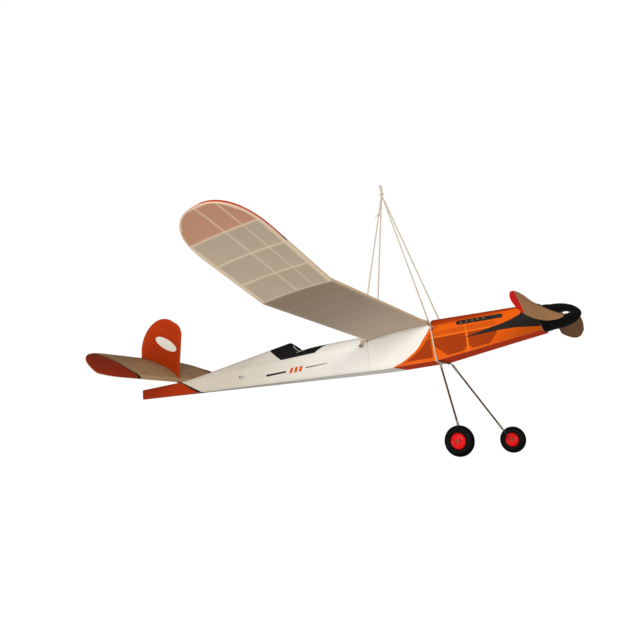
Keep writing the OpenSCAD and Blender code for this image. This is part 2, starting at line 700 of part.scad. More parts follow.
// ---- undercarriage ----------------------------------------------------------------------------
leg_top = [X(223), 26, 152.4];
knee = [X(axle_station), 108, axle_z];   // where the axle wire turns outboard
socket = 14;                      // how far each wire runs inside its leg
bare_wire = 22;                   // wire left bare between the leg and the knee
axle_end = wheel_track / 2 + 14;
leg_vector = knee - leg_top;
leg_length = norm(leg_vector) - bare_wire;
module along_leg(start) translate(leg_top) rotate([0, 0, atan2(leg_vector[1], leg_vector[0])])
    rotate([0, acos(leg_vector[2] / norm(leg_vector)), 0]) translate([0, 0, start]) children();
module both() {
    children();
    mirror([0, 1, 0]) children();
}
module gear_legs() color("saddlebrown") both() along_leg(0) difference() {
    cylinder(d = leg_d, h = leg_length);
    translate([0, 0, -1]) cylinder(r = wire_r + gap, h = socket + 1);
    translate([0, 0, leg_length - socket]) cylinder(r = wire_r + gap, h = socket + 1);
}
wire_rise = 3;                    // how far the cross wire stands off the leg's top
cross_y = leg_top[1] - wire_rise * leg_vector[1] / norm(leg_vector);
cross_z = leg_top[2] - wire_rise * leg_vector[2] / norm(leg_vector);
cross_x = leg_top[0] - wire_rise * leg_vector[0] / norm(leg_vector);
bend_r = 1.05;                    // the wire is a little fuller where it is bent
module gear_wire() color("silver") {
    both() {
        along_leg(-wire_rise) cylinder(r = wire_r, h = socket + wire_rise - 0.3);
        along_leg(leg_length - socket + 0.3) cylinder(r = wire_r, h = socket + bare_wire - 0.3);
        translate(knee) sphere(r = bend_r);
        translate(knee) rotate([-90, 0, 0]) cylinder(r = wire_r, h = axle_end - knee[1]);
    }
    for (side = [-1, 1]) translate([cross_x, side * cross_y, cross_z]) sphere(r = bend_r);
    translate([cross_x, 0, cross_z]) rotate([90, 0, 0])
        cylinder(r = wire_r, h = 2 * cross_y, center = true);
}
module leg_bindings() color("silver") both() for (start = [1, leg_length - 16]) along_leg(start)
    difference() {
        cylinder(r = leg_d / 2 + 0.6, h = 14);
        translate([0, 0, -1]) cylinder(r = leg_d / 2 + 0.02, h = 20);
    }

hub_w = 9;
module wheel_place(side) translate([X(axle_station), side * wheel_track / 2, axle_z])
    rotate([90, 0, 0]) children();
module tyre() color([0.07, 0.07, 0.07]) rotate_extrude($fn = 72) difference() {
    translate([wheel_d / 2 - tyre_w / 2, 0]) circle(tyre_w / 2);
    translate([0, -tyre_w]) square([hub_d / 2, 2 * tyre_w]);
}
module hub() color("red") rotate_extrude($fn = 72) difference() {
    translate([0, -hub_w / 2]) square([hub_d / 2 - 0.02, hub_w]);
    translate([0, -hub_w]) square([wire_r + gap, 2 * hub_w]);
    for (s = [-1, 1]) translate([4, s * hub_w / 2 - (s > 0 ? 0.8 : 0)]) square([6, 0.8]);
}
module port_tyre() wheel_place(1) tyre();
module starboard_tyre() wheel_place(-1) tyre();
module port_hub() wheel_place(1) hub();
module starboard_hub() wheel_place(-1) hub();
module wheel_retainers() color("gold") both() for (y = [-hub_w / 2 - 1.8, hub_w / 2 + 0.3])
    translate([X(axle_station), wheel_track / 2 + y, axle_z]) rotate([-90, 0, 0]) difference() {
        cylinder(r = 2, h = 1.5);
        translate([0, 0, -1]) cylinder(r = wire_r + 0.01, h = 4);
    }

// ---- tail, in its own frame: a is aft of the hinge, b is up from the hinge -----------------------
hinge_z = 212.2;
hinge_r = 0.5;
stab_edge = 2.6;
stab_camber = 0.09;
stab_skin = 0.3;
square_to = 100;                  // half span over which the chord stays constant
module tail_frame() translate([X(hinge_station), 0, hinge_z]) rotate([0, tail_pop_angle, 0])
    children();
function stab_trail(y) = let (q = max((abs(y) - square_to) / (stab_half_span - square_to), 0))
    stab_chord * pow(1 - pow(q, 2.4), 0.6);
function stab_lead(y) = 14 * pow(abs(y) / stab_half_span, 12);
function stab_section(y, inset) = let (a = stab_lead(y), c = stab_trail(y) - a) concat(
    [for (i = [0 : 10]) let (t = pow(i / 10, 1.6), u = a + inset + t * (c - 2 * inset))
        [-stab_a - u, stab_b + stab_edge + stab_camber * c * hump(t) - inset]],
    [for (t = [1, 0]) [-stab_a - a - inset - t * (c - 2 * inset), stab_b + inset]]);
stab_tip = stab_half_span - 1.5;
stab_stations = [for (s = [-1, 1]) for (y = s < 0 ?
    [stab_tip, 199, 192, 182, 168, 150, 128, square_to, 0] :
    [square_to, 128, 150, 168, 182, 192, 199, stab_tip]) s * y];
module stab_loft(inset) loft([for (y = stab_stations)
    [for (p = stab_section(y, inset)) [p[0], abs(y) == stab_tip ? y - sign(y) * inset : y, p[1]]]]);
module stab_covering() color(tan_tissue) tail_frame() difference() {
    stab_loft(0);
    stab_loft(stab_skin);
}
spar_a = 46;
rim_steps = 12;
function rim(shrink) = let (reach = stab_tip - 4.5 - shrink)
    [for (i = [-rim_steps : rim_steps]) let (y = reach * sin(90 * i / rim_steps))
        [-stab_a - stab_lead(y) - 0.8 - shrink * 0.6, y],
     for (i = [rim_steps - 1 : -1 : 1 - rim_steps]) let (y = reach * sin(90 * i / rim_steps))
        [-stab_a - stab_trail(y) + 2.4 + shrink, y]];
rib_places = [0, 35, 70, 105, 138, 166];
module stab_frame() color(balsa) tail_frame() {
    translate([0, 0, stab_b + 0.4]) linear_extrude(stab_edge - 0.9) difference() {
        polygon(rim(0));
        polygon(rim(6));
    }
    translate([-stab_a - spar_a - 3, -160, stab_b + 0.4]) cube([3, 320, 7]);
    for (y = rib_places, s = [-1, 1]) if (y > 0 || s > 0) translate([0, s * y + 0.75, 0])
        rotate([90, 0, 0]) linear_extrude(1.5) intersection() {
            polygon(stab_section(y + 2, 0.5));
            translate([-stab_a - stab_trail(y) + 4, -5])
                square([stab_trail(y) - stab_lead(y) - 8, 40]);
        }
}

// fin: an ellipse with a straight, raked leading edge, standing on the stabiliser
fin_t = 3.4;
fin_middle = [88, 46];
fin_radii = [58, 63];
crown = [62, 86];
crown_r = 21.5;
fin_outline = concat(
    [for (i = [10 : -1 : 1]) let (t = min(pow(i / 10, 1.6), 0.98))
        [-stab_a - t * stab_chord, stab_b + stab_edge + stab_camber * stab_chord * hump(t) + 0.15]],
    [for (a = [156 : -16.5 : 90]) [-crown[0] + crown_r * cos(180 - a), crown[1] + crown_r * sin(a)]],
    [for (a = [90 : -11 : -42]) [-fin_middle[0] - fin_radii[0] * cos(a),
                                 fin_middle[1] + fin_radii[1] * sin(a)]]);
module fin() color("orangered") tail_frame() rotate([90, 0, 0])
    linear_extrude(fin_t, center = true) polygon(fin_outline);

module hinge_tube() color("silver") translate([X(hinge_station), 0, hinge_z]) rotate([90, 0, 0])
    difference() {
        cylinder(r = 1.3, h = 9, center = true);
        cylinder(r = hinge_r + gap, h = 20, center = true);
    }
module hinge_wire() color("silver") tail_frame() {
    rotate([90, 0, 0]) cylinder(r = hinge_r, h = 13, center = true);
    for (side = [-1, 1]) translate([0, side * 6, 0]) rotate([0, -90, 0])
        cylinder(r = hinge_r, h = stab_a - 0.05);
}

// ---- hanging cord -------------------------------------------------------------------------------
knot = [X(303), 0, hook_z - 15];
knot_r = 4.2;
cord_y = 27.9;
shoulder = [X(231), cord_y, 216];
belly = [X(227.5), cord_y, 154.8];
rear_tie = [X(rear_dowel[0]), 28.1, rear_dowel[1] + dowel_r + cord_r + 0.05];
small_knot = rear_tie + (knot - rear_tie) * 0.86;
strands = 8;
function unit(v) = v / norm(v);
function bisector(path, i) = unit(
    (i > 0 ? unit(path[i] - path[i - 1]) : [0, 0, 0]) +
    (i < len(path) - 1 ? unit(path[i + 1] - path[i]) : [0, 0, 0]));
function first_ring(path, r) = let (t = unit(path[1] - path[0]), m = unit(cross(t, [0.1, 1, 0])),
    n = cross(t, m)) [for (j = [0 : strands - 1]) let (a = -360 * (j + 0.5) / strands)
    path[0] + r * (m * cos(a) + n * sin(a))];
function next_ring(path, i, ring) = let (t = unit(path[i] - path[i - 1]), b = bisector(path, i))
    [for (p = ring) p - t * ((p - path[i]) * b) / (t * b)];
function sweep(path, i, ring) = i == len(path) ? [] :
    let (r = i == 0 ? ring : next_ring(path, i, ring)) concat([r], sweep(path, i + 1, r));
module cord(path) loft(sweep(path, 0, first_ring(path, cord_r)));
module cord_harness() color("wheat") difference() {
    union() {
        both() {
            cord([knot, shoulder, belly + [0, 0, 1.2], belly + [0, -0.25, 0.25], belly + [0, -1.2, 0],
                  [belly[0], 0, belly[2]]]);
            cord([knot, rear_tie]);
        }
        translate([small_knot[0], -small_knot[1], small_knot[2]]) sphere(r = 2.2, $fn = 12);
    }
    translate(knot) sphere(r = knot_r + gap, $fn = 12);
}
loop_inner = 6;
module hanging_loop() color("wheat") {
    translate(knot) sphere(r = knot_r, $fn = 12);
    translate(knot + [0, 0, knot_r + loop_inner]) rotate([90, 0, 90])
        rotate_extrude($fn = 24) translate([loop_inner + cord_r - 0.3, 0]) circle(cord_r, $fn = 8);
}

longerons();
uprights();
cross_members();
diagonal_braces();
nose_stringers();
nose_sheeting();
nose_former();
stern_block();
deck_formers();
dowel_plates();
peg_plates();
nose_covering();
rear_covering();
tail_stripe();
boom_sheeting();
nose_deck();
mid_deck();
cockpit_coaming();
cockpit_floor();
headrest();
headrest_pad();
turtle_deck();
exhaust_panels();
exhaust_stubs();
cowl();
wing_dowels();
wing_bands();
rear_motor_peg();
wing_leading_edge();
wing_trailing_edge();
wing_spars();
wing_ribs();
dihedral_braces();
wing_tip_bows();
wing_covering();
wing_tip_covering();
gear_legs();
gear_wire();
leg_bindings();
wheel_retainers();
hinge_tube();
cord_harness();
hanging_loop();
nose_plug();
shaft_bush();
spinner();
spinner_backplate();
prop_hub();
prop_blades();
prop_shaft();
thrust_washers();
rubber_motor();
port_tyre();
port_hub();
starboard_tyre();
starboard_hub();
stab_frame();
stab_covering();
fin();
hinge_wire();
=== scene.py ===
import math
import random

import bpy
from mathutils import Matrix, Vector


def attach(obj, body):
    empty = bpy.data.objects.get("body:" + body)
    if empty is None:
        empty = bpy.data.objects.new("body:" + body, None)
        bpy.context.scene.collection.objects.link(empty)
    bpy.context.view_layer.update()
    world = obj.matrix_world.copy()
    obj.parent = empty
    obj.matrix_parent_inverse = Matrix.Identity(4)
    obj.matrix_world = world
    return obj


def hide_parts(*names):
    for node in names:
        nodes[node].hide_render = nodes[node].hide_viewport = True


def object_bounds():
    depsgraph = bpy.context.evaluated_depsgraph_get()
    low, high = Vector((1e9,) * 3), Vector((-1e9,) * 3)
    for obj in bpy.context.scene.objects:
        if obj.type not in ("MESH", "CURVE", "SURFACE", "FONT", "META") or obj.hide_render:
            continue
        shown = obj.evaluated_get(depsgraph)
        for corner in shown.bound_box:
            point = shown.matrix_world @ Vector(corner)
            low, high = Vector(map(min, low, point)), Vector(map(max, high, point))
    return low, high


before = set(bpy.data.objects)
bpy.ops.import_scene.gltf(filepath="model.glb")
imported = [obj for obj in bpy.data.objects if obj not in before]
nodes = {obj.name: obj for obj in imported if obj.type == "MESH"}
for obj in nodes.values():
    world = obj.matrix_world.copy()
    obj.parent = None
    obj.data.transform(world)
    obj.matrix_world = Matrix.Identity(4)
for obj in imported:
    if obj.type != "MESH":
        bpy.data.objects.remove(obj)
cad_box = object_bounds()
MM = 0.001
HALF = -cad_box[0][0] / MM         # mm from the frame's middle to either end
rng = random.Random(7)


def X(station):
    return HALF - station


def lerp(a, b, t):
    return a + (b - a) * t


def tilted(p):
    """A point on the propeller's assembly, turned with the shaft."""
    x, z = p[0] - X(PIVOT_ST), p[2] - THRUST_Z
    c, s = math.cos(DOWN_THRUST), math.sin(DOWN_THRUST)
    return (X(PIVOT_ST) + x * c + z * s, p[1], THRUST_Z - x * s + z * c)


def at(table, x):
    """Straight-line value of a table of (x, y) pairs."""
    if x <= table[0][0]:
        return table[0][1]
    for (x0, y0), (x1, y1) in zip(table, table[1:]):
        if x <= x1:
            return lerp(y0, y1, (x - x0) / (x1 - x0))
    return table[-1][1]


# ------------------------------------------------------------------ fuselage lines, as in the CAD
PLAN = [(57, 19.5), (123, 21), (226, 26), (400, 26.5), (825, 5), (932, 3.5)]
TOP = [(57, 214.8), (232, 214.6), (350, 209.2), (440, 210.5), (932, 210.5)]
BOTTOM = [(57, 175), (226, 156.5), (330, 158), (932, 191)]
THRUST_Z = 195.0
DOWN_THRUST = math.radians(2.5)     # the shaft points this much nose-down
PIVOT_ST = 43.4                     # about the plug's front face


# ------------------------------------------------------------------ shader arithmetic
def srgb(*c):
    return tuple(((v / 255 + 0.055) / 1.055) ** 2.4 if v > 10 else v / 255 / 12.92 for v in c) + (1,)


class Val:
    """One output socket; arithmetic on it adds Math nodes."""

    def __init__(self, mat, socket):
        self.mat, self.socket = mat, socket

    def __add__(self, o): return self.mat.math("ADD", self, o)
    def __sub__(self, o): return self.mat.math("SUBTRACT", self, o)
    def __mul__(self, o): return self.mat.math("MULTIPLY", self, o)
    def __truediv__(self, o): return self.mat.math("DIVIDE", self, o)
    def __rsub__(self, o): return self.mat.math("SUBTRACT", o, self)
    __radd__ = __add__
    __rmul__ = __mul__


class Mat:
    def __init__(self, name):
        self.m = bpy.data.materials.new(name)
        self.m.use_nodes = True
        self.t = self.m.node_tree
        self.t.nodes.clear()
        self.out = self.t.nodes.new("ShaderNodeOutputMaterial")
        self.b = self.t.nodes.new("ShaderNodeBsdfPrincipled")
        self.t.links.new(self.b.outputs[0], self.out.inputs[0])
        self.height = None

    def put(self, socket, v):
        if isinstance(v, Val):
            self.t.links.new(v.socket, socket)
        elif v is not None:
            socket.default_value = v

    def math(self, op, a, b=None, clamp=False):
        n = self.t.nodes.new("ShaderNodeMath")
        n.operation = op
        n.use_clamp = clamp
        self.put(n.inputs[0], a)
        self.put(n.inputs[1], b)
        return Val(self, n.outputs[0])

    def vec(self, x, y, z):
        n = self.t.nodes.new("ShaderNodeCombineXYZ")
        for s, v in zip(n.inputs, (x, y, z)):
            self.put(s, v)
        return Val(self, n.outputs[0])

    def xyz(self):
        """Object coordinates in mm."""
        c = self.t.nodes.new("ShaderNodeTexCoord")
        n = self.t.nodes.new("ShaderNodeSeparateXYZ")
        self.t.links.new(c.outputs["Object"], n.inputs[0])
        return [Val(self, o) * 1000.0 for o in n.outputs]

    def facing_down(self):
        """1 on surfaces that look at the ground, 0 elsewhere."""
        g = self.t.nodes.new("ShaderNodeNewGeometry")
        n = self.t.nodes.new("ShaderNodeSeparateXYZ")
        self.t.links.new(g.outputs["Normal"], n.inputs[0])
        return 1.0 - self.step(Val(self, n.outputs["Z"]), -0.8, -0.45)

    def attr(self, name):
        n = self.t.nodes.new("ShaderNodeAttribute")
        n.attribute_name = name
        return Val(self, n.outputs["Fac"])

    def step(self, x, lo, hi):
        """0 below lo, 1 above hi, smooth between."""
        n = self.t.nodes.new("ShaderNodeMapRange")
        n.interpolation_type = "SMOOTHSTEP"
        self.put(n.inputs["Value"], x)
        self.put(n.inputs["From Min"], lo)
        self.put(n.inputs["From Max"], hi)
        return Val(self, n.outputs[0])

    def over(self, x, edge, soft=0.3):
        """1 where x is over the edge, which may itself be a value."""
        return self.step(x - edge, -soft, soft)

    def line(self, x, centre, half, soft=0.3):
        d = self.math("ABSOLUTE", x - centre)
        return 1.0 - self.step(d, half - soft, half + soft)

    def box(self, x, x0, x1, z, z0, z1, soft=0.5):
        return (self.over(x, x0, soft) * (1.0 - self.over(x, x1, soft))
                * self.over(z, z0, soft) * (1.0 - self.over(z, z1, soft)))

    def either(self, *masks):
        out = masks[0]
        for m in masks[1:]:
            out = self.math("MAXIMUM", out, m)
        return out

    def table(self, x, points):
        """Straight-line lookup of x in (x, y) pairs."""
        x0, x1 = points[0][0], points[-1][0]
        lo = min(p[1] for p in points)
        hi = max(p[1] for p in points)
        n = self.t.nodes.new("ShaderNodeFloatCurve")
        c = n.mapping.curves[0]
        flat = [((p[0] - x0) / (x1 - x0), (p[1] - lo) / (hi - lo)) for p in points]
        c.points[0].location, c.points[1].location = flat[0], flat[-1]
        for p in flat[1:-1]:
            c.points.new(*p)
        for p in c.points:
            p.handle_type = "VECTOR"
        n.mapping.update()
        self.put(n.inputs["Value"], (x - x0) / (x1 - x0))
        return Val(self, n.outputs[0]) * (hi - lo) + lo

    def noise(self, vector, scale=1.0, detail=3.0, rough=0.55):
        n = self.t.nodes.new("ShaderNodeTexNoise")
        self.put(n.inputs["Vector"], vector)
        n.inputs["Scale"].default_value = scale
        n.inputs["Detail"].default_value = detail
        n.inputs["Roughness"].default_value = rough
        return Val(self, n.outputs[0])

    def mix(self, fac, a, b):
        n = self.t.nodes.new("ShaderNodeMix")
        n.data_type = "RGBA"
        self.put(n.inputs["Factor"], fac)
        self.put(n.inputs[6], a)
        self.put(n.inputs[7], b)
        return Val(self, n.outputs[2])

    def bump(self, height, distance=0.1, strength=1.0):
        """height is in mm times distance; bumps stack."""
        n = self.t.nodes.new("ShaderNodeBump")
        n.inputs["Strength"].default_value = strength
        n.inputs["Distance"].default_value = distance * MM
        self.put(n.inputs["Height"], height)
        if self.height is not None:
            self.t.links.new(self.height, n.inputs["Normal"])
        self.height = n.outputs[0]

    def done(self, color, rough=0.5, **extra):
        self.put(self.b.inputs["Base Color"], color)
        self.put(self.b.inputs["Roughness"], rough)
        for key, v in extra.items():
            self.put(self.b.inputs[key.replace("_", " ")], v)
        if self.height is not None:
            self.t.links.new(self.height, self.b.inputs["Normal"])
        return self.m


# ------------------------------------------------------------------ materials
def wood(name, light, darker, along="x", rough=0.6, grain=1.0, coat=0.0):
    """Straight-grained wood, its grain running along one axis."""
    m = Mat(name)
    x, y, z = m.xyz()
    k = {"x": (0.02, 1, 1), "y": (1, 0.02, 1), "z": (1, 1, 0.02)}[along]
    v = m.vec(x * k[0], y * k[1], z * k[2])
    fine = m.noise(v, 1.6, 4, 0.65)
    broad = m.noise(v, 0.25, 2)
    flecks = m.step(m.noise(v, 4.0, 2), 0.62, 0.72)
    f = m.math("ADD", fine * 0.6 + broad * 0.55, -0.1, clamp=True)
    col = m.mix(f, light, darker)
    col = m.mix(flecks * 0.25 * grain, col, tuple(c * 0.55 for c in darker[:3]) + (1,))
    m.bump(fine, 0.12 * grain)
    return m.done(col, rough, Coat_Weight=coat, Coat_Roughness=0.25)


BALSA = wood("balsa", srgb(226, 196, 150), srgb(196, 158, 110))
HARDWOOD = wood("hardwood", srgb(186, 138, 88), srgb(140, 94, 54), along="y", rough=0.5)


def glossy(name, color, rough=0.25, coat=0.6, dust=0.05, wear=0.0):
    m = Mat(name)
    x, y, z = m.xyz()
    v = m.vec(x, y, z)
    n = m.noise(v, 0.08, 4)
    fine = m.noise(v, 1.1, 3)
    dusty = m.mix(m.step(n, 0.35, 0.75) * dust, color, srgb(205, 195, 180))
    m.bump(m.noise(v, 0.35, 2), 0.08)
    m.bump(fine, 0.015)
    return m.done(dusty, m.math("ADD", rough + fine * 0.12 - 0.05, 0.0), Coat_Weight=coat,
                  Coat_Roughness=0.12)


BLACK = glossy("black_dope", srgb(20, 18, 18), 0.32, 0.3, 0.02)
SPINNER_BLACK = glossy("spinner_black", srgb(9, 9, 10), 0.14, 0.8, 0.004)


def weave(m, x, y, z, pitch=0.35):
    """Fine tissue fibres."""
    v = m.vec(x, y, z)
    return m.noise(v, 2.2, 5, 0.7)


NOSE_LOWER = [(52, 180.2), (94.4, 186.1), (119.4, 186.9), (150, 185.8), (178, 185.2)]
NOSE_UPPER = [(52, 230), (79, 214.5), (85.4, 205.1), (101, 199.6), (118, 195.8), (131, 194.2),
              (155, 189.4), (178, 185.5)]
COLOUR_EDGE = [(155, 311), (158.1, 306.1), (162, 293), (166.8, 281.8), (176.6, 265.1),
               (185, 255), (194.3, 247.6), (204, 238.6), (212.2, 232.6), (216, 231)]


def body_finish():
    m = Mat("fuselage_finish")
    x, y, z = m.xyz()
    st = HALF - x
    v = m.vec(x, y, z)
    broad = m.noise(v, 0.03, 4)
    cloud = m.noise(v, 0.012, 3)
    fibre = weave(m, x, y, z)
    # white part; it greys from station 330 to 720 towards the tail, which is painted shade
    aft = m.step(st, 330.0, 720.0)
    white = m.mix(aft, srgb(246, 243, 236), srgb(206, 196, 180))
    white = m.mix(broad * 0.6, white, m.mix(aft, srgb(228, 222, 212), srgb(188, 178, 164)))
    white = m.mix(m.step(fibre, 0.52, 0.8) * 0.25, white, srgb(196, 188, 176))
    low = m.table(st, BOTTOM)
    seam = m.either(m.line(st, 351.0, 0.45, 0.35), m.line(z, low + 2.6, 0.3, 0.3),
                    m.line(z, m.table(st, TOP) - 1.8, 0.35, 0.3) * m.over(st, 351))
    white = m.mix(seam * 0.5, white, srgb(160, 150, 138))
    for s in (400, 448, 508, 574, 634, 660, 720):
        white = m.mix(m.line(st, s, 1.4, 1.0) * 0.14, white, srgb(236, 226, 208))
    # trim on the white side: a pinstripe with three short bars
    rise = (st - 437.0) * 0.011
    taper = m.box(st, 437, 486, m.math("ABSOLUTE", z - 187.0), -1, rise + 0.45, 0.2)
    block = m.box(st, 532, 580, m.math("ABSOLUTE", z - 187.0), -1, rise + 0.45, 0.2)
    white = m.mix(m.either(taper, block), white, srgb(28, 26, 27))
    for s in (494, 505, 516):
        bar = m.box(st + (z - 187) * 0.45, s, s + 6.5, z, 182.2, 192.0, 0.25)
        white = m.mix(bar, white, srgb(206, 84, 26))
    plate = m.box(st, 634, 645, z, 189.5, 196.5, 0.3)
    white = m.mix(plate * 0.7, white, srgb(176, 172, 168))
    # orange nose: bright over wood, darker and browner over the open bays; the tissue's translucency there
    # is real, the dark inside showing through it is painted shade
    bright = m.mix(cloud, srgb(230, 100, 0), srgb(216, 82, 0))
    bay_a = m.box(st, 124.8, 171.2, z, low + 3.2, 193.1, 0.6)
    bay_b = m.box(st, 174.8, 229.2, z, low + 3.2, 193.1, 0.6)
    bay_c = m.box(st, 124.8, 229.2, z, 196.0, 203.8, 0.5) * 0.35
    cut_b = m.over(st + 0.95 * (z - low), 229.3 + 3 - 0, 0.8)
    cut_b = m.over((z - low) * 1.0 + (229.3 - st), 24.5, 0.8)
    cut_a = m.over((z - low) + (st - 124.8), 16, 0.8) * m.over((z - low) + (171.2 - st), 9, 0.8)
    cut_b = cut_b * m.over((z - low) + (st - 174.8), 9, 0.8)
    edge = m.table(z, COLOUR_EDGE)
    brace = m.over(st - 232.8, 0, 0.6)
    bay_d = brace * m.over(z, low + 5.5, 0.6) * (1.0 - m.over(st, edge - 7.5, 1.0)) \
        * (1.0 - m.over(z, 203, 0.8))
    bays = m.either(bay_a * cut_a, bay_b * cut_b, bay_c, bay_d * m.over(st, 233.5, 0.6))
    # painted shade: the dark inside of the open bays, seen through the tissue
    dark = m.mix(broad, srgb(170, 60, 0), srgb(150, 50, 0))
    orange = m.mix(bays, bright, dark)
    rim = m.either(m.line(st, 173, 1.6, 0.5), m.line(z, 194.5, 1.0, 0.5) * m.over(124, st * -1 + 248, 1),
                   m.line(st, 231, 1.6, 0.6))
    orange = m.mix(rim * m.over(st, 122, 1) * 0.35, orange, srgb(244, 132, 40))
    # painted shade: the nose's upper edge, towards the deck, is darker
    painted_top_shade = m.over(z, 211.5, 2.5) * m.over(st, 120, 60)
    orange = m.mix(painted_top_shade * 0.5, orange, srgb(176, 58, 12))
    # painted shade: surfaces facing the ground get a darker, redder orange for the belly
    down = m.facing_down()
    orange = m.mix(down, orange, m.mix(broad, srgb(226, 66, 2), srgb(204, 54, 1)))
    # black flash
    flash = m.over(z, m.table(st, NOSE_LOWER), 0.25) * (1.0 - m.over(z, m.table(st, NOSE_UPPER), 0.25)) \
        * (1.0 - m.over(st, 178, 0.4))
    flash_col = m.mix(fibre, srgb(30, 27, 26), srgb(50, 44, 40))
    orange = m.mix(flash, orange, flash_col)
    # zones along the body
    is_white = m.over(st, edge, 0.35)
    line_a = (z - 180) * 2.0 + 752
    col = m.mix(is_white, orange, white)
    boom = m.mix(broad, srgb(172, 50, 0), srgb(152, 40, 0))
    col = m.mix(m.over(st, line_a, 0.3), col, srgb(30, 27, 27))
    col = m.mix(m.over(st, line_a + 4.0 + (212.0 - z) * 0.22, 0.3), col, boom)
    m.bump(fibre, 0.02)
    m.bump(m.noise(v, 0.11, 2), 0.12)
    m.bump(seam, 0.1)
    return m.done(col, 0.4 + fibre * 0.1, Coat_Weight=0.04, Coat_Roughness=0.2,
                  Specular_IOR_Level=0.08)


BODY = body_finish()


def plain_covering(name, light, darker, rough=0.34, sheen=0.35, tail=None):
    """Doped tissue in one colour, which can grey to a second one towards the tail: painted shade."""
    m = Mat(name)
    x, y, z = m.xyz()
    v = m.vec(x, y, z)
    fibre = weave(m, x, y, z)
    if tail:
        # painted shade: the colour greys towards the tail from station 330 to 720
        light = m.mix(m.step(HALF - x, 330.0, 720.0), light, tail)
    col = m.mix(m.noise(v, 0.03, 4), light, darker)
    col = m.mix(m.step(fibre, 0.55, 0.85) * 0.2, col, tuple(c * 0.8 for c in darker[:3]) + (1,))
    m.bump(fibre, 0.02)
    m.bump(m.noise(v, 0.1, 2), 0.12)
    return m.done(col, rough + fibre * 0.1, Coat_Weight=sheen * 0.15, Coat_Roughness=0.2,
                  Specular_IOR_Level=0.08)


# painted shade: the nose deck is the body's orange, darker because the top faces away from the light
SHADED_ORANGE_DECK = plain_covering("orange_deck", srgb(178, 60, 0), srgb(154, 44, 0))
# the cream covering's tail colour is painted shade towards the tail
CREAM = plain_covering("cream_covering", srgb(242, 238, 231), srgb(214, 206, 194), tail=srgb(170, 158, 142))
ORANGE_WOOD = plain_covering("orange_wood", srgb(172, 50, 0), srgb(152, 40, 0))
DARK_TRIM = plain_covering("dark_trim", srgb(34, 32, 32), srgb(22, 21, 22), 0.42, 0.2)


INNER = 319.8                       # mm out to the wing's dihedral break


def tissue(name, ribs, spar_lines, le, te, tip_edge, tip_under, under_col, over_col, red_under,
           red_over, divider, panel_break=-50.0):
    """Doped tissue over ribs. span, chord and under are point attributes of the mesh, in mm."""
    m = Mat(name)
    x, y, z = m.xyz()
    span, chord, under = m.attr("span"), m.attr("chord"), m.attr("under")
    v = m.vec(x, y, z)
    fibre = m.noise(v, 1.9, 5, 0.72)
    broad = m.noise(v, 0.022, 3)
    speck = m.noise(v, 0.9, 2)
    rib = m.either(*[m.line(span, s, 1.0, 0.5) for s in ribs])
    halo = m.either(*[m.line(span, s, 2.6, 2.2) for s in ribs])
    spars = m.either(*[m.line(chord, s, w, 0.5) for s, w in spar_lines])
    edges = m.either(1.0 - m.step(chord, le - 0.6, le + 0.6), m.step(chord, te - 0.6, te + 0.6),
                     m.attr("rim"))
    base = m.mix(broad, under_col, tuple(c * 0.9 for c in under_col[:3]) + (1,))
    base = m.mix(m.step(speck, 0.45, 0.8) * 0.25, base, tuple(c * 0.78 for c in under_col[:3]) + (1,))
    top = m.mix(broad, over_col, tuple(c * 0.88 for c in over_col[:3]) + (1,))
    peach = srgb(244, 218, 188)
    past = m.over(span, tip_edge(m, chord), 0.35)
    base = m.mix(m.over(span, tip_under(m, chord), 0.35), base, red_under)
    # painted shade: the inner panel darkens towards the dihedral break and its rib lines are faint there
    outer = m.step(span, panel_break - 3.0, panel_break + 3.0) * 0.86 + 0.14
    shaded = m.step(span, 0.0, INNER) * 0.5 + 0.06
    base = m.mix(outer, m.mix(shaded, base, srgb(128, 92, 60)), base)
    base = m.mix(halo * outer * 0.3, base, peach)
    base = m.mix(m.either(rib * 0.9, spars * 0.6, edges * 0.8) * outer, base, peach)
    red = m.mix(broad, red_over, tuple(c * 0.86 for c in red_over[:3]) + (1,))
    top = m.mix(past, top, red)
    top = m.mix(m.either(rib, spars, edges) * (1.0 - past) * 0.16, top, srgb(236, 206, 160))
    breadth = m.math("MAXIMUM", 1.0 - chord / 60.0, 0.0) * divider + 0.9
    black = m.line(span, tip_edge(m, chord) - breadth, breadth, 0.3)
    top = m.mix(black, top, srgb(28, 25, 25))
    col = m.mix(under, top, base)
    m.bump(fibre, 0.03)
    m.bump(m.either(rib, spars), 0.10)
    m.bump(m.noise(m.vec(x * 0.3, y * 0.3, z * 0.3), 0.35, 3), 0.15)
    return m.done(col, 0.46 + fibre * 0.12, Coat_Weight=0.06, Coat_Roughness=0.25,
                  Specular_IOR_Level=0.2)


RIBS = [24.5 + (INNER - 3 - 24.5) * k / 6 for k in range(7)] + [INNER + s for s in (49, 98, 147.8)]


def wing_edge(m, chord):
    k = m.math("MAXIMUM", 1.0 - chord / 42.0, 0.0)
    return (INNER + 147.8) - k * k * 40.0


def wing_edge_under(m, chord):
    return INNER + 147.8


WING_TISSUE = tissue("wing_tissue", RIBS + [0.0, INNER], [(26.8, 1.3), (54.3, 1.5)], 4.6, 108.5,
                     wing_edge, wing_edge_under, srgb(206, 188, 164), srgb(206, 182, 146),
                     srgb(210, 155, 124), srgb(188, 50, 0), 4.5, INNER)


def stab_edge(m, chord):
    k = m.math("MAXIMUM", (34.0 - chord) / 36.0, 0.0)
    return 132.8 - k * k * 22.0


STAB_TISSUE = tissue("stab_tissue", [0, 35, 70, 105, 138, 166], [(47.5, 1.5)], 5.5, 126.0,
                     stab_edge, stab_edge, srgb(176, 152, 120), srgb(158, 124, 88), srgb(150, 50, 0),
                     srgb(148, 40, 0), 3.0)


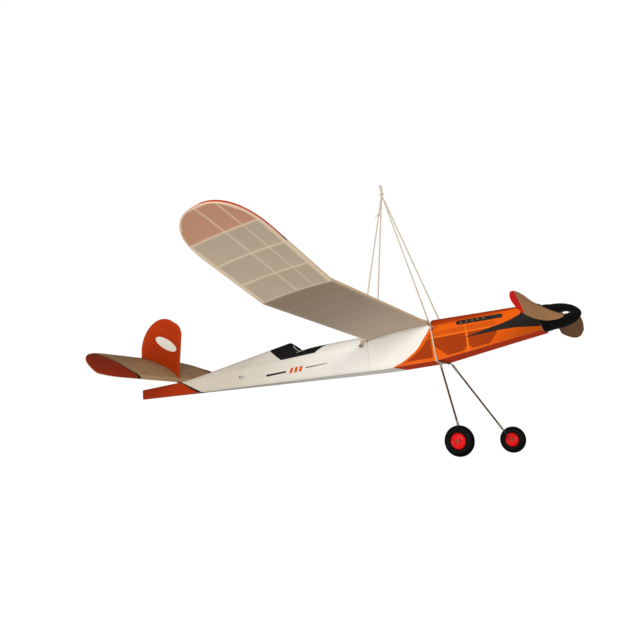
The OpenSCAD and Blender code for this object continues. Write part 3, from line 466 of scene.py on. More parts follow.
# ------------------------------------------------------------------ mesh helpers
def piece(name, verts, faces, body, material, replaces=(), smooth=True, attrs=None, slot=None):
    """verts in mm, in the row frame."""
    me = bpy.data.meshes.new(name)
    me.from_pydata([(a * MM, b * MM, c * MM) for a, b, c in verts], [], faces)
    me.update()
    for key, values in (attrs or {}).items():
        layer = me.attributes.new(key, "FLOAT", "POINT")
        layer.data.foreach_set("value", values)
    o = bpy.data.objects.new(name, me)
    bpy.context.scene.collection.objects.link(o)
    me.materials.append(material)
    if smooth:
        me.polygons.foreach_set("use_smooth", [True] * len(me.polygons))
    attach(o, body)
    if replaces:
        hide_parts(*replaces)
    return o


def outward(o):
    import bmesh
    bm = bmesh.new()
    bm.from_mesh(o.data)
    bmesh.ops.recalc_face_normals(bm, faces=bm.faces)
    bm.to_mesh(o.data)
    bm.free()


def sharp(o, degrees=35):
    """Smooth shading that keeps edges sharper than the angle."""
    o.data.set_sharp_from_angle(angle=math.radians(degrees))


class Shape:
    """Collects rings and patches in mm, then becomes one mesh."""

    def __init__(self):
        self.v, self.f, self.a = [], [], {}

    def add(self, verts, faces, **attrs):
        n = len(self.v)
        self.v += [tuple(p) for p in verts]
        self.f += [tuple(i + n for i in f) for f in faces]
        for key, vals in attrs.items():
            have = self.a.setdefault(key, [0.0] * n)
            have += [0.0] * (n - len(have))
            have += list(vals)
        return self

    def loft(self, rings, caps=True, close=True, attrs=None):
        m, n = len(rings[0]), len(rings)
        faces = []
        last = m if close else m - 1
        for i in range(n - 1):
            for j in range(last):
                k = (j + 1) % m
                faces.append((i * m + j, (i + 1) * m + j, (i + 1) * m + k, i * m + k))
        if caps:
            faces.append(tuple(range(m)))
            faces.append(tuple((n - 1) * m + j for j in reversed(range(m))))
        flat = [p for r in rings for p in r]
        return self.add(flat, faces, **(attrs or {}))

    def tube(self, path, radius, sides=10, caps=True, twist=0.0, up=(0.1, 1, 0.05)):
        """A round rod along a path of points; radius may be a function of the share along it."""
        pts = [Vector(p) for p in path]
        rings = []
        t = (pts[1] - pts[0]).normalized()
        n = t.cross(Vector(up)).normalized()
        length = 0.0
        for i, p in enumerate(pts):
            a = (pts[i] - pts[i - 1]).normalized() if i else t
            b = (pts[i + 1] - pts[i]).normalized() if i < len(pts) - 1 else a
            t = (a + b).normalized()
            n = (n - t * n.dot(t)).normalized()
            c = t.cross(n)
            if i:
                length += (pts[i] - pts[i - 1]).length
            r = radius(i / (len(pts) - 1)) if callable(radius) else radius
            w = twist * length
            rings.append([p + (n * math.cos(q + w) + c * math.sin(q + w)) * r
                          for q in (2 * math.pi * j / sides for j in range(sides))])
        return self.loft([[tuple(p) for p in r] for r in rings], caps)

    def lathe(self, profile, centre, axis="x", sides=64, close=False):
        """profile is (along, radius) pairs; a radius of 0 closes an end."""
        rings = []
        for along, r in profile:
            ring = []
            for j in range(sides):
                a = 2 * math.pi * j / sides
                c, s = r * math.cos(a), r * math.sin(a)
                d = {"x": (along, c, s), "y": (c, along, s), "z": (c, s, along)}[axis]
                ring.append(tuple(centre[k] + d[k] for k in range(3)))
            rings.append(ring)
        m, n = sides, len(rings)
        faces = []
        for i in range(n if close else n - 1):
            for j in range(m):
                k = (j + 1) % m
                i2 = (i + 1) % n
                faces.append((i * m + j, i2 * m + j, i2 * m + k, i * m + k))
        if not close:
            faces.append(tuple(range(m)))
            faces.append(tuple((n - 1) * m + j for j in reversed(range(m))))
        return self.add([p for r in rings for p in r], faces)

    def make(self, name, body, material, **kw):
        o = piece(name, self.v, self.f, body, material, attrs=self.a or None, **kw)
        import bmesh
        bm = bmesh.new()
        bm.from_mesh(o.data)
        bmesh.ops.remove_doubles(bm, verts=bm.verts, dist=1e-6)
        bmesh.ops.recalc_face_normals(bm, faces=bm.faces)
        bm.to_mesh(o.data)
        bm.free()
        if kw.get("smooth", True):
            o.data.polygons.foreach_set("use_smooth", [True] * len(o.data.polygons))
        return o


def dress(material, *names):
    """Gives CAD nodes a procedural material."""
    for n in names:
        o = nodes[n]
        if not o.data.materials:
            o.data.materials.append(material)
        for i in range(len(o.material_slots)):
            o.material_slots[i].material = material


# ------------------------------------------------------------------ fuselage skin
SKIN = 0.4


def body_sections():
    stations = [57, 60, 70, 84, 98, 112, 123]
    stations += [123 + 50 * k / 6 for k in range(1, 7)] + [173 + 58 * k / 7 for k in range(1, 8)]
    stops = [231, 290, 351.5, 400, 448, 508, 574, 634, 660, 720, 780, 812, 850, 890, 932]
    for a, b in zip(stops, stops[1:]):
        stations += [lerp(a, b, k / 5) for k in range(1, 6)]
    return stations


FRAMES = [57, 123, 173, 231, 290, 351.5, 400, 448, 508, 574, 634, 660, 720, 780, 812, 850, 932]


def hollow_of(x, marks, amount):
    """How far tissue dips between two supports."""
    for a, b in zip(marks, marks[1:]):
        if a <= x <= b:
            t = (x - a) / (b - a)
            return amount * 4 * t * (1 - t)
    return 0.0


def body_ring(s, out):
    w, hi, lo = at(PLAN, s) + out, at(TOP, s), at(BOTTOM, s) - out
    r = 1.1 + out
    dip = hollow_of(s, FRAMES, 0.28) if 121.5 < s < 815 else 0.0
    side = []
    steps = 7
    for k in range(steps + 1):
        t = k / steps
        z = lerp(hi, lo + r, t)
        side.append((w - dip * 4 * t * (1 - t), z))
    for k in range(1, 5):
        a = math.pi / 2 * k / 5
        side.append((w - r + r * math.cos(a), lo + r - r * math.sin(a)))
    flat = []
    for k in range(0, 4):
        t = k / 3
        flat.append(((w - r) * (1 - t), lo + dip * (1 - (1 - t) ** 2)))
    half = side + flat
    ring = [(X(s), y, z) for y, z in half] + [(X(s), -y, z) for y, z in reversed(half[:-1])]
    return ring


skin = Shape()
secs = body_sections()
skin.loft([body_ring(s, SKIN) + list(reversed(body_ring(s, 0.05))) for s in secs])
skin_obj = skin.make("fuselage_skin", "airframe", BODY,
                     replaces=("nose_covering", "rear_covering", "tail_stripe", "boom_sheeting"),
                     slot="cream_covering")
sharp(skin_obj, 50)

boom_top = Shape()
boom_top.loft([[(X(s), w * (at(PLAN, s) + SKIN), at(TOP, s) + h) for w, h in
                ((-1, 0.02), (-1, 0.22), (-0.82, 0.4), (0, 0.46), (0.82, 0.4), (1, 0.22), (1, 0.02))]
               for s in (798, 812, 821, 850, 880, 905, 932)])
boom_obj = boom_top.make("boom_top_sheet", "airframe", ORANGE_WOOD, slot="orange_wood")
sharp(boom_obj, 50)


# ------------------------------------------------------------------ decks
def deck(name, start, end, rise, material, replaces, slot, steps=24, across=36, thick=0.7,
         a0=0.0, a1=180.0, caps=True):
    """An arched sheet; start and end are stations, or functions of height."""
    def place(a, t, inset):
        s = None
        z = 213.0
        for _ in range(6):
            s0 = start(z) if callable(start) else start
            s1 = end(z) if callable(end) else end
            s = lerp(s0, max(s1, s0 + 0.3), t)
            z = at(TOP, s) + (rise(s)) * math.sin(math.radians(a))
        w = at(PLAN, s) + SKIN - inset
        return (X(s), w * math.cos(math.radians(a)),
                at(TOP, s) + (rise(s) - inset) * math.sin(math.radians(a)))
    rings = []
    for i in range(steps + 1):
        t = i / steps
        outer = [place(lerp(a0, a1, j / across), t, 0) for j in range(across + 1)]
        inner = [place(lerp(a0, a1, j / across), t, thick) for j in range(across + 1)]
        rings.append(outer + list(reversed(inner)))
    sh = Shape()
    m = 2 * (across + 1)
    faces = []
    for i in range(steps):
        for j in range(m):
            k = (j + 1) % m
            faces.append((i * m + j, (i + 1) * m + j, (i + 1) * m + k, i * m + k))
    for base in (0, steps * m):
        for j in range(across):
            faces.append((base + j, base + j + 1, base + m - 2 - j, base + m - 1 - j))
    sh.add([p for r in rings for p in r], faces)
    o = sh.make(name, "airframe", material, replaces=replaces, slot=slot)
    sharp(o, 45)
    return o


NOSE_RISE = [(57, 2.6), (101, 6.3), (232, 13.2)]
deck("nose_deck_skin", 57, 231.5, lambda s: at(NOSE_RISE, s), SHADED_ORANGE_DECK, ("nose_deck",),
     "orange_covering")
PAINT = lambda z: 463 - (z - 210.5) * 30 / 16
HEAD_FRONT = lambda z: 499 + (z - 210.5) * 35.9 / 38.1
HEAD_BACK = lambda z: 541.6 + (z - 210.5) * 43.4 / 33.7
SILL = [(218.8, 506.5), (222.3, 487), (224.6, 470), (226, 455), (226.6, 441)]
ridge = lambda s: 243.4 - 0.118 * (s - 530) - 210.5
deck("mid_deck_skin", 353.2, PAINT, lambda s: 15.0, CREAM, ("mid_deck",), "cream_covering")
deck("cockpit_surround", lambda z: PAINT(z) + 0.05,
     lambda z: min(HEAD_FRONT(z) - 0.1, at(SILL, z)) if z > 218.8 else HEAD_FRONT(z) - 0.1,
     lambda s: 15.0, DARK_TRIM, ("cockpit_coaming",), "black_finish")
deck("headrest_shell", HEAD_FRONT, HEAD_BACK, lambda s: max(ridge(min(s, 797)), 1.0), DARK_TRIM,
     ("headrest",), "black_finish", steps=10)
deck("turtle_deck_skin", lambda z: HEAD_BACK(z) + 0.05, 797, lambda s: max(ridge(min(s, 797)), 1.0),
     CREAM, ("turtle_deck",), "cream_covering", steps=40)


# ------------------------------------------------------------------ wing
CHORD, LEAD_H, TRAIL_H, CAMBER, HOLLOW = 114.8, 4.0, 2.2, 0.070, 0.022
TIP_SPAN, BOW_FROM, TIP_MIDDLE = 202.0, 115.0, 50.0
D1, D2 = math.radians(3.84), math.radians(19.46)
MITRE = (D2 - D1) / 2
INC = math.radians(3)
SPAR_U = (0.22, 0.46)


def hump(t):
    return 2.598 * math.sqrt(max(t, 0)) * (1 - t)


def wing_place(u, v, w, panel, side):
    """From wing panel coordinates in mm to the row frame."""
    d = D1 if panel == 0 else D2
    y, z = v * math.cos(d) - w * math.sin(d), v * math.sin(d) + w * math.cos(d)
    if panel:
        y += INNER * math.cos(D1)
        z += INNER * math.sin(D1)
    x = -u
    return (X(234.4) + x * math.cos(INC) - z * math.sin(INC), side * y,
            215.3 + x * math.sin(INC) + z * math.cos(INC))


def tip_lead(v):
    b = max((v - BOW_FROM) / (TIP_SPAN - BOW_FROM), 0)
    return TIP_MIDDLE * (1 - (1 - b ** 2.6) ** 0.42)


def tip_trail(v):
    b = max((v - BOW_FROM) / (TIP_SPAN - BOW_FROM), 0)
    return CHORD - (CHORD - TIP_MIDDLE) * (1 - (1 - b ** 2.4) ** 0.45)


UPPER_T = [(1 - math.cos(math.pi * i / 30)) / 2 for i in range(31)]
LOWER_T = [(1 - math.cos(math.pi * i / 26)) / 2 for i in range(27)]


def wing_ring(v, panel, side, over, marks):
    """One chordwise section: over the top from the leading edge, then back underneath."""
    a, e = (0.0, CHORD) if panel == 0 else (tip_lead(v), tip_trail(v))
    c = e - a
    s = c / CHORD
    lead = lerp(2.8, LEAD_H, s)
    place = (v if panel == 0 else INNER + v)
    fade = 1.0 if panel == 0 else 1 - max((v - BOW_FROM) / (TIP_SPAN - BOW_FROM), 0) ** 2
    dip = hollow_of(place, marks, 1.0)
    ring, info = [], []
    for t in UPPER_T:
        u = a + t * c
        w = lerp(lead, TRAIL_H, t) + CAMBER * c * hump(t)
        far = min(1.0, max(0.0, (u - a - 4.5) / 12)) * min(1.0, max(0.0, (e - 7 - u) / 10))
        w -= 0.85 * dip * far
        round_off = max(0.0, 1 - t * c / 1.6)
        w -= round_off * 1.0
        ring.append((u, v, w))
        info.append((place, u, 0.0, 1.0 if panel and (v > BOW_FROM) and
                     min(t * c, (1 - t) * c, TIP_SPAN - v) < 3.0 else 0.0))
    for t in reversed(LOWER_T[:-1]):
        u = a + t * c
        w = HOLLOW * 4 * c * t * (1 - t) * fade
        near = [a + 4.5, SPAR_U[0] * CHORD, SPAR_U[0] * CHORD + 3, SPAR_U[1] * CHORD,
                SPAR_U[1] * CHORD + 3, e - 7]
        far = 0.0
        for p, q in ((near[0], near[1]), (near[3 - 1], near[3]), (near[4], near[5])):
            if q > p and p < u < q:
                k = (u - p) / (q - p)
                far = min(1.0, 4 * k * (1 - k) * 1.3)
        w += 0.7 * dip * far
        round_off = max(0.0, 1 - t * c / 1.6)
        w += round_off * 0.5
        ring.append((u, v, w))
        info.append((place, u, 1.0, 1.0 if panel and (v > BOW_FROM) and
                     min(t * c, (1 - t) * c, TIP_SPAN - v) < 3.0 else 0.0))
    if over is not None:
        ring = [(u, over - w * math.tan(MITRE) if panel == 0 else over + w * math.tan(MITRE), w)
                for u, vv, w in ring]
    return [wing_place(u, vv, w, panel, side) for u, vv, w in ring], info


def wing_skin(name, panel, side, replaces):
    marks = [0.0] + RIBS[:7] + [INNER] if panel == 0 else [INNER] + RIBS[7:] + [INNER + TIP_SPAN]
    marks = sorted(set(marks))
    if panel == 0:
        vs = [0.03]
        for a, b in zip(marks, marks[1:]):
            n = 2 if b - a < 8 else 8
            vs += [lerp(a, b, k / n) for k in range(1, n + 1)]
        vs[-1] = INNER
        rings = [wing_ring(v, 0, side, INNER - 0.03 if v == INNER else None, marks) for v in vs]
    else:
        vs = [0.0]
        for a, b in zip(marks, marks[1:]):
            if b <= INNER + 148:
                vs += [lerp(a, b, k / 8) - INNER for k in range(1, 9)]
        start = vs[-1]
        end = TIP_SPAN - 0.25
        vs += [lerp(start, end, math.sin(math.pi / 2 * k / 22)) for k in range(1, 23)]
        rings = [wing_ring(v, 1, side, 0.03 if v == 0.0 else None, marks) for v in vs]
    sh = Shape()
    info = [q for r in rings for q in r[1]]
    sh.loft([r[0] for r in rings], attrs={"span": [q[0] for q in info], "chord": [q[1] for q in info],
                                          "under": [q[2] for q in info], "rim": [q[3] for q in info]})
    o = sh.make(name, "airframe", WING_TISSUE, replaces=replaces, slot="tan_covering")
    sharp(o, 40)
    return o


wing_skin("wing_skin_port", 0, 1, ("wing_covering",))
wing_skin("wing_skin_starboard", 0, -1, ())
wing_skin("tip_skin_port", 1, 1, ("wing_tip_covering",))
wing_skin("tip_skin_starboard", 1, -1, ())


def wing_underside(s, y):
    """Height of the inner panel's lower surface over a station."""
    u = min(max((s - 234.4) / math.cos(INC), 0.0), CHORD)
    t = u / CHORD
    return 215.3 - u * math.sin(INC) + HOLLOW * 4 * CHORD * t * (1 - t) + abs(y) * math.tan(D1)


def wing_saddle():
    sh = Shape()
    for side in (1, -1):
        rings = []
        for k in range(25):
            s = lerp(234.6, 348.5, k / 24)
            y0, y1 = at(PLAN, s) - 1.6, at(PLAN, s) + 0.25
            low = at(TOP, s) + 0.02
            rings.append([(X(s), side * y, z) for y, z in
                          ((y0, low), (y1, low), (y1, wing_underside(s, y1) - 0.25),
                           (y0, wing_underside(s, y0) - 0.25))])
        sh.loft(rings)
    sh.make("wing_saddle", "airframe", CREAM, slot="cream_covering", smooth=False)


wing_saddle()


# ------------------------------------------------------------------ tail
HINGE = (X(825), 0.0, 212.2)
POP = math.radians(32)
STAB_A, STAB_B, STAB_EDGE, STAB_CHORD, STAB_HALF = 1.4, -1.0, 2.6, 133.0, 205.0


def tail_place(a, y, b):
    """a is aft of the hinge, b is square to the tailplane."""
    return (HINGE[0] - a * math.cos(POP) + b * math.sin(POP), y,
            HINGE[2] + a * math.sin(POP) + b * math.cos(POP))


def stab_trail(y):
    q = min(max((abs(y) - 100) / (STAB_HALF - 100), 0), 1)
    return STAB_CHORD * (1 - q ** 2.4) ** 0.6


def stab_lead(y):
    return 14 * (abs(y) / STAB_HALF) ** 12


def stab_skin():
    marks = [-166, -138, -105, -70, -35, 0, 35, 70, 105, 138, 166]
    marks = [-203] + marks + [203]
    ys = []
    for a, b in zip(marks[1:-1], marks[2:-1]):
        ys += [lerp(a, b, k / 6) for k in range(6)]
    ys.append(166)
    outer = [lerp(166, 203.3, math.sin(math.pi / 2 * k / 12)) for k in range(1, 13)]
    ys = [-q for q in reversed(outer)] + ys + outer
    sh = Shape()
    rings, info = [], []
    for y in ys:
        a, e = stab_lead(y), stab_trail(y)
        c = e - a
        dip = hollow_of(y, marks, 1.0)
        ring = []
        for t in UPPER_T:
            u = a + t * c
            far = min(1.0, max(0.0, (u - a - 5) / 12)) * min(1.0, max(0.0, (e - 7 - u) / 10))
            b = STAB_B + STAB_EDGE + 0.09 * c * hump(t) - 0.8 * dip * far
            b -= max(0.0, 1 - t * c / 1.5) * 0.8 + max(0.0, 1 - (1 - t) * c / 1.2) * 0.6
            ring.append(tail_place(STAB_A + u, y, b))
            info.append((abs(y), u, 0.0, 1.0 if min(t * c, (1 - t) * c) < 4 else 0.0))
        for t in reversed(LOWER_T[:-1]):
            u = a + t * c
            far = 0.0
            for p, q in ((a + 5, 46), (49, e - 7)):
                if q > p and p < u < q:
                    k = (u - p) / (q - p)
                    far = 4 * k * (1 - k)
            b = STAB_B + 0.6 * dip * far + max(0.0, 1 - t * c / 1.5) * 0.8
            ring.append(tail_place(STAB_A + u, y, b))
            info.append((abs(y), u, 1.0, 1.0 if min(t * c, (1 - t) * c) < 4 else 0.0))
        rings.append(ring)
    sh.loft(rings, attrs={"span": [q[0] for q in info], "chord": [q[1] for q in info],
                          "under": [q[2] for q in info], "rim": [q[3] for q in info]})
    o = sh.make("stabiliser_skin", "tail", STAB_TISSUE, replaces=("stab_covering",), slot="tan_covering")
    sharp(o, 40)


stab_skin()


def fin_finish():
    m = Mat("fin_finish")
    a, b = m.attr("aft"), m.attr("up")
    x, y, z = m.xyz()
    v = m.vec(x, y, z)
    fibre = weave(m, x, y, z)
    col = m.mix(m.noise(v, 0.04, 4), srgb(184, 55, 0), srgb(166, 44, 0))
    p, q = (a - 75.0) / 35.0, (b - 58.0) / 10.5
    r = p * p + q * q
    col = m.mix(1.0 - m.step(r, 0.985, 1.015), col, srgb(232, 226, 214))
    frame_lines = m.either(m.line(b, 34, 1.2, 0.8), m.line(b, 80, 1.2, 0.8), m.attr("rim"))
    col = m.mix(frame_lines * 0.05, col, srgb(240, 150, 70))
    m.bump(fibre, 0.03)
    m.bump(frame_lines, 0.08)
    return m.done(col, 0.42 + fibre * 0.1, Coat_Weight=0.04, Coat_Roughness=0.2,
                  Specular_IOR_Level=0.08)


def fin_outline(inset):
    pts = []
    for k in range(17):
        t = lerp(0.98, 0.02, k / 16)
        pts.append((STAB_A + t * STAB_CHORD,
                    STAB_B + STAB_EDGE + 0.09 * STAB_CHORD * hump(t) + 0.15))
    for k in range(13):
        a = math.radians(lerp(156.7, 90, k / 12))
        pts.append((70.5 + 31.5 * math.cos(a), 77 + 31.5 * math.sin(a)))
    for k in range(33):
        a = math.radians(lerp(90, -42, k / 32))
        pts.append((88 + 58 * math.cos(a), 46 + 63 * math.sin(a)))
    return pts


def fin():
    base = fin_outline(0)
    mid = (78.0, 56.0)
    sh = Shape()
    rings = []
    info = []
    prof = [(-1.7, 1.4), (-1.45, 0.5), (-0.8, 0.05), (0, 0.0), (0.8, 0.05), (1.45, 0.5), (1.7, 1.4)]
    n = len(base)

    def shrunk(d):
        out = []
        for i in range(n):
            p, q, r = base[i - 1], base[i], base[(i + 1) % n]
            tx, ty = r[0] - p[0], r[1] - p[1]
            ln = math.hypot(tx, ty) or 1
            nx, ny = -ty / ln, tx / ln
            if (mid[0] - q[0]) * nx + (mid[1] - q[1]) * ny < 0:
                nx, ny = -nx, -ny
            out.append((q[0] + nx * d, q[1] + ny * d))
        return out
    for y, d in prof:
        ring = shrunk(d)
        rings.append([tail_place(a, y, b) for a, b in ring])
        info += [(a, b, 1.0) for a, b in ring]
    attrs = {"aft": [q[0] for q in info], "up": [q[1] for q in info], "rim": [q[2] for q in info]}
    sh.loft(rings, caps=False, attrs=attrs)
    for y, d0 in ((-1.7, 1.4), (1.7, 1.4)):
        grid, gi, faces = [], [], []
        steps = 8
        edge = shrunk(d0)
        for k in range(steps):
            f = 1 - k / steps
            for a, b in edge:
                pa, pb = mid[0] + (a - mid[0]) * f, mid[1] + (b - mid[1]) * f
                sag = 0.35 * math.sin(math.pi * (1 - f)) * 0.8
                grid.append(tail_place(pa, y - math.copysign(sag, y), pb))
                gi.append((pa, pb, 1.0 if f > 0.93 else 0.0))
        grid.append(tail_place(mid[0], y, mid[1]))
        gi.append((mid[0], mid[1], 0.0))
        for k in range(steps - 1):
            for j in range(n):
                i2 = (j + 1) % n
                faces.append((k * n + j, k * n + i2, (k + 1) * n + i2, (k + 1) * n + j))
        for j in range(n):
            faces.append(((steps - 1) * n + j, (steps - 1) * n + (j + 1) % n, steps * n))
        sh.add(grid, faces, aft=[q[0] for q in gi], up=[q[1] for q in gi], rim=[q[2] for q in gi])
    o = sh.make("fin_skin", "tail", fin_finish(), replaces=("fin",), slot="orange_wood")
    sharp(o, 60)


fin()


# ------------------------------------------------------------------ propeller
PROP_R, PITCH, BLADE = 205.0, 350.0, 42.0
BLADE_PLAN = [(0.0393, 0.225), (0.08, 0.32), (0.15, 0.62), (0.25, 0.84), (0.4, 0.97), (0.55, 1),
              (0.7, 0.96), (0.82, 0.85), (0.91, 0.66), (0.96, 0.46), (0.99, 0.24), (1, 0.1)]
RAKE = [(0, 28), (0.08, 28), (0.4, 40), (1, 42)]


def smooth_table(table, x):
    """Catmull-Rom through the table's points."""
    for i in range(len(table) - 1):
        x0, x1 = table[i][0], table[i + 1][0]
        if x <= x1 or i == len(table) - 2:
            t = min(max((x - x0) / (x1 - x0), 0), 1)
            p0 = table[max(i - 1, 0)][1]
            p1, p2 = table[i][1], table[i + 1][1]
            p3 = table[min(i + 2, len(table) - 1)][1]
            return 0.5 * (2 * p1 + (p2 - p0) * t + (2 * p0 - 5 * p1 + 4 * p2 - p3) * t * t
                          + (3 * p1 - p0 - 3 * p2 + p3) * t ** 3)


def blade_finish(name, light, darker, tip):
    m = Mat(name)
    x, y, z = m.xyz()
    r = m.math("ABSOLUTE", y)
    v = m.vec(x, y * 0.03, z)
    fine = m.noise(v, 1.4, 4, 0.65)
    col = m.mix(fine * 0.7 + m.noise(v, 0.2, 2) * 0.4, light, darker)
    if tip:
        col = m.mix(m.over(r, 172.0, 0.3), col, tip)
    m.bump(fine, 0.06)
    return m.done(col, 0.42 + fine * 0.15, Coat_Weight=0.1, Coat_Roughness=0.25,
                  Specular_IOR_Level=0.2)


BLADE_TAN = blade_finish("blade_tan", srgb(186, 138, 95), srgb(152, 106, 66), srgb(220, 8, 4))
# painted shade: the port blade is the same wood as the starboard one in a darker copy
BLADE_SHADED = blade_finish("blade_brown", srgb(142, 100, 66), srgb(116, 78, 50), None)


def blade(name, turn, material, replaces):
    sh = Shape()
    rings = []
    steps = 44
    for i in range(steps + 1):
        p = lerp(0.0393, 1.0, math.sin(math.pi / 2 * i / steps) if i > steps * 0.6 else
                 (i / steps) * math.sin(math.pi * 0.3) / 0.6)
        r = p * PROP_R
        c = max(smooth_table(BLADE_PLAN, p), 0.08) * BLADE
        pitch = math.atan2(PITCH, 2 * math.pi * max(r, 9))
        t = max(0.09 * c * (1.15 - p), 0.7)
        base = at(RAKE, p)
        ring = []
        prof = [(-0.5, 0.02)] + [(lerp(-0.5, 0.5, k / 12), 0.16 + 0.84 * math.sin(
            math.pi * (k / 12) ** 0.85)) for k in range(1, 12)] + [(0.5, 0.02)]
        prof += [(lerp(0.5, -0.5, k / 8), 0.18 * math.sin(math.pi * k / 8) - 0.05)
                 for k in range(1, 8)]
        for q, up in prof:
            a, b = q * c, up * t
            px = X(base) - a * math.sin(pitch) + b * math.cos(pitch)
            pz = a * math.cos(pitch) + b * math.sin(pitch)
            w = math.radians(turn + 1.6)
            yy, zz = -r, pz
            ring.append(tilted((px, yy * math.cos(w) - zz * math.sin(w),
                                THRUST_Z + yy * math.sin(w) + zz * math.cos(w))))
        rings.append(ring)
    sh.loft(rings)
    o = sh.make(name, "propeller", material, replaces=replaces, slot="blade_wood")
    sharp(o, 50)


blade("blade_starboard", 0, BLADE_TAN, ("prop_blades",))
blade("blade_port", 180, BLADE_SHADED, ())

BACK = 42.2
FRONT = BACK - 1.4
sp = Shape()
profile = [(X(FRONT), 17.6)] + [(X(FRONT), 19.2), (X(FRONT - 0.3), 19.5)]
for k in range(1, 40):
    t = math.sin(math.pi / 2 * k / 40)
    profile.append((X(FRONT) + FRONT * t, 19.5 * max(1 - t ** 2.1, 0) ** 0.56))
profile.append((X(0) - 0.02, 0.35))
sp.lathe(profile, (0, 0, THRUST_Z), "x", 96)
sp.v = [tilted(q) for q in sp.v]
spin = sp.make("spinner_shell", "propeller", SPINNER_BLACK, replaces=("spinner",), slot="black_finish")
sharp(spin, 40)

cowl = Shape()
cowl.lathe([(X(57), 20.4), (X(56.6), 21.0), (X(50), 20.8), (X(46.2), 20.4), (X(45.3), 20.0),
            (X(45.05), 19.2), (X(45.05), 13.0), (X(57), 13.0)], (0, 0, THRUST_Z), "x", 80, close=True)
cowl_obj = cowl.make("cowl_shell", "airframe", SPINNER_BLACK, replaces=("cowl",), slot="black_finish")
sharp(cowl_obj, 35)


# ------------------------------------------------------------------ undercarriage
AXLE_Z = 22.225
AX = X(170)


def tyre_material():
    m = Mat("tyre_rubber")
    x, y, z = m.xyz()
    v = m.vec(x, y, z)
    n = m.noise(v, 0.5, 4)
    col = m.mix(m.step(n, 0.45, 0.8) * 0.5, srgb(9, 8, 8), srgb(20, 19, 18))
    m.bump(m.noise(v, 3.0, 3), 0.05)
    return m.done(col, 0.5 + n * 0.2, Specular_IOR_Level=0.12)


def hub_material():
    m = Mat("red_hub")
    x, y, z = m.xyz()
    v = m.vec(x, y, z)
    n = m.noise(v, 0.4, 3)
    col = m.mix(n, srgb(222, 8, 12), srgb(204, 4, 8))
    m.bump(m.noise(v, 1.5, 2), 0.04)
    return m.done(col, 0.42, Coat_Weight=0.05, Specular_IOR_Level=0.15)


def metal(name, color, rough, scratch=0.3):
    m = Mat(name)
    x, y, z = m.xyz()
    v = m.vec(x * 0.2, y, z)
    n = m.noise(v, 2.5, 3)
    col = m.mix(n * 0.5, color, tuple(c * 0.6 for c in color[:3]) + (1,))
    m.bump(n, 0.02 * scratch)
    return m.done(col, rough + n * 0.15, Metallic=1.0)


TYRE, HUB = tyre_material(), hub_material()
STEEL = metal("steel_wire", srgb(172, 168, 160), 0.32)
BRASS = metal("brass", srgb(176, 140, 76), 0.3)
ALU = metal("aluminium", srgb(205, 205, 208), 0.25)


def wheel(side, name):
    cy = side * 120.0
    ty = Shape()
    prof = []
    big, small = 22.225 - 7.6, 7.6
    for k in range(40):
        a = lerp(-138, 138, k / 39)
        r = big + small * math.cos(math.radians(a))
        w = small * math.sin(math.radians(a))
        if abs(abs(a) - 62) < 3.6:
            r, w = r + 0.18 * math.cos(math.radians(a)), w + 0.18 * math.sin(math.radians(a))
        if abs(a) < 4:
            r -= 0.02
        prof.append((w, max(r, 11.85)))
    ty.lathe(prof, (AX, cy, AXLE_Z), "y", 96, close=True)
    o = ty.make(name + "_tyre_body", name + "_wheel", TYRE, replaces=(name + "_tyre",), slot="tyre_rubber")
    sharp(o, 50)
    hb = Shape()
    prof = [(-4.5, 0.9), (-4.5, 2.6), (-4.1, 3.1), (-3.7, 3.6), (-3.6, 8.6), (-3.9, 9.4), (-4.7, 10.2),
            (-4.9, 10.9), (-4.6, 11.5), (-4.0, 11.75), (4.0, 11.75), (4.6, 11.5), (4.9, 10.9),
            (4.7, 10.2), (3.9, 9.4), (3.6, 8.6), (3.7, 3.6), (4.1, 3.1), (4.5, 2.6), (4.5, 0.9)]
    hb.lathe(prof, (AX, cy, AXLE_Z), "y", 72, close=True)
    o = hb.make(name + "_hub_body", name + "_wheel", HUB, replaces=(name + "_hub",), slot="red_hub")
    sharp(o, 35)


wheel(1, "port")
wheel(-1, "starboard")

LEG_TOP = Vector((X(223), 26, 152.4))
KNEE = Vector((AX, 108, AXLE_Z))
LEG_DIR = (KNEE - LEG_TOP).normalized()
LEG_LEN = (KNEE - LEG_TOP).length - 22


def side_of(p, side):
    return (p[0], side * p[1], p[2])


def bamboo():
    m = Mat("bamboo")
    x, y, z = m.xyz()
    v = m.vec(x, y, z * 0.05)
    n = m.noise(v, 1.6, 4, 0.65)
    col = m.mix(n, srgb(98, 77, 57), srgb(66, 50, 37))
    knots = m.either(*[m.line(z, h, 0.7, 0.5) for h in (60, 104, 139)])
    col = m.mix(knots * 0.6, col, srgb(70, 48, 32))
    m.bump(n, 0.1)
    return m.done(col, 0.48, Coat_Weight=0.1, Specular_IOR_Level=0.2)


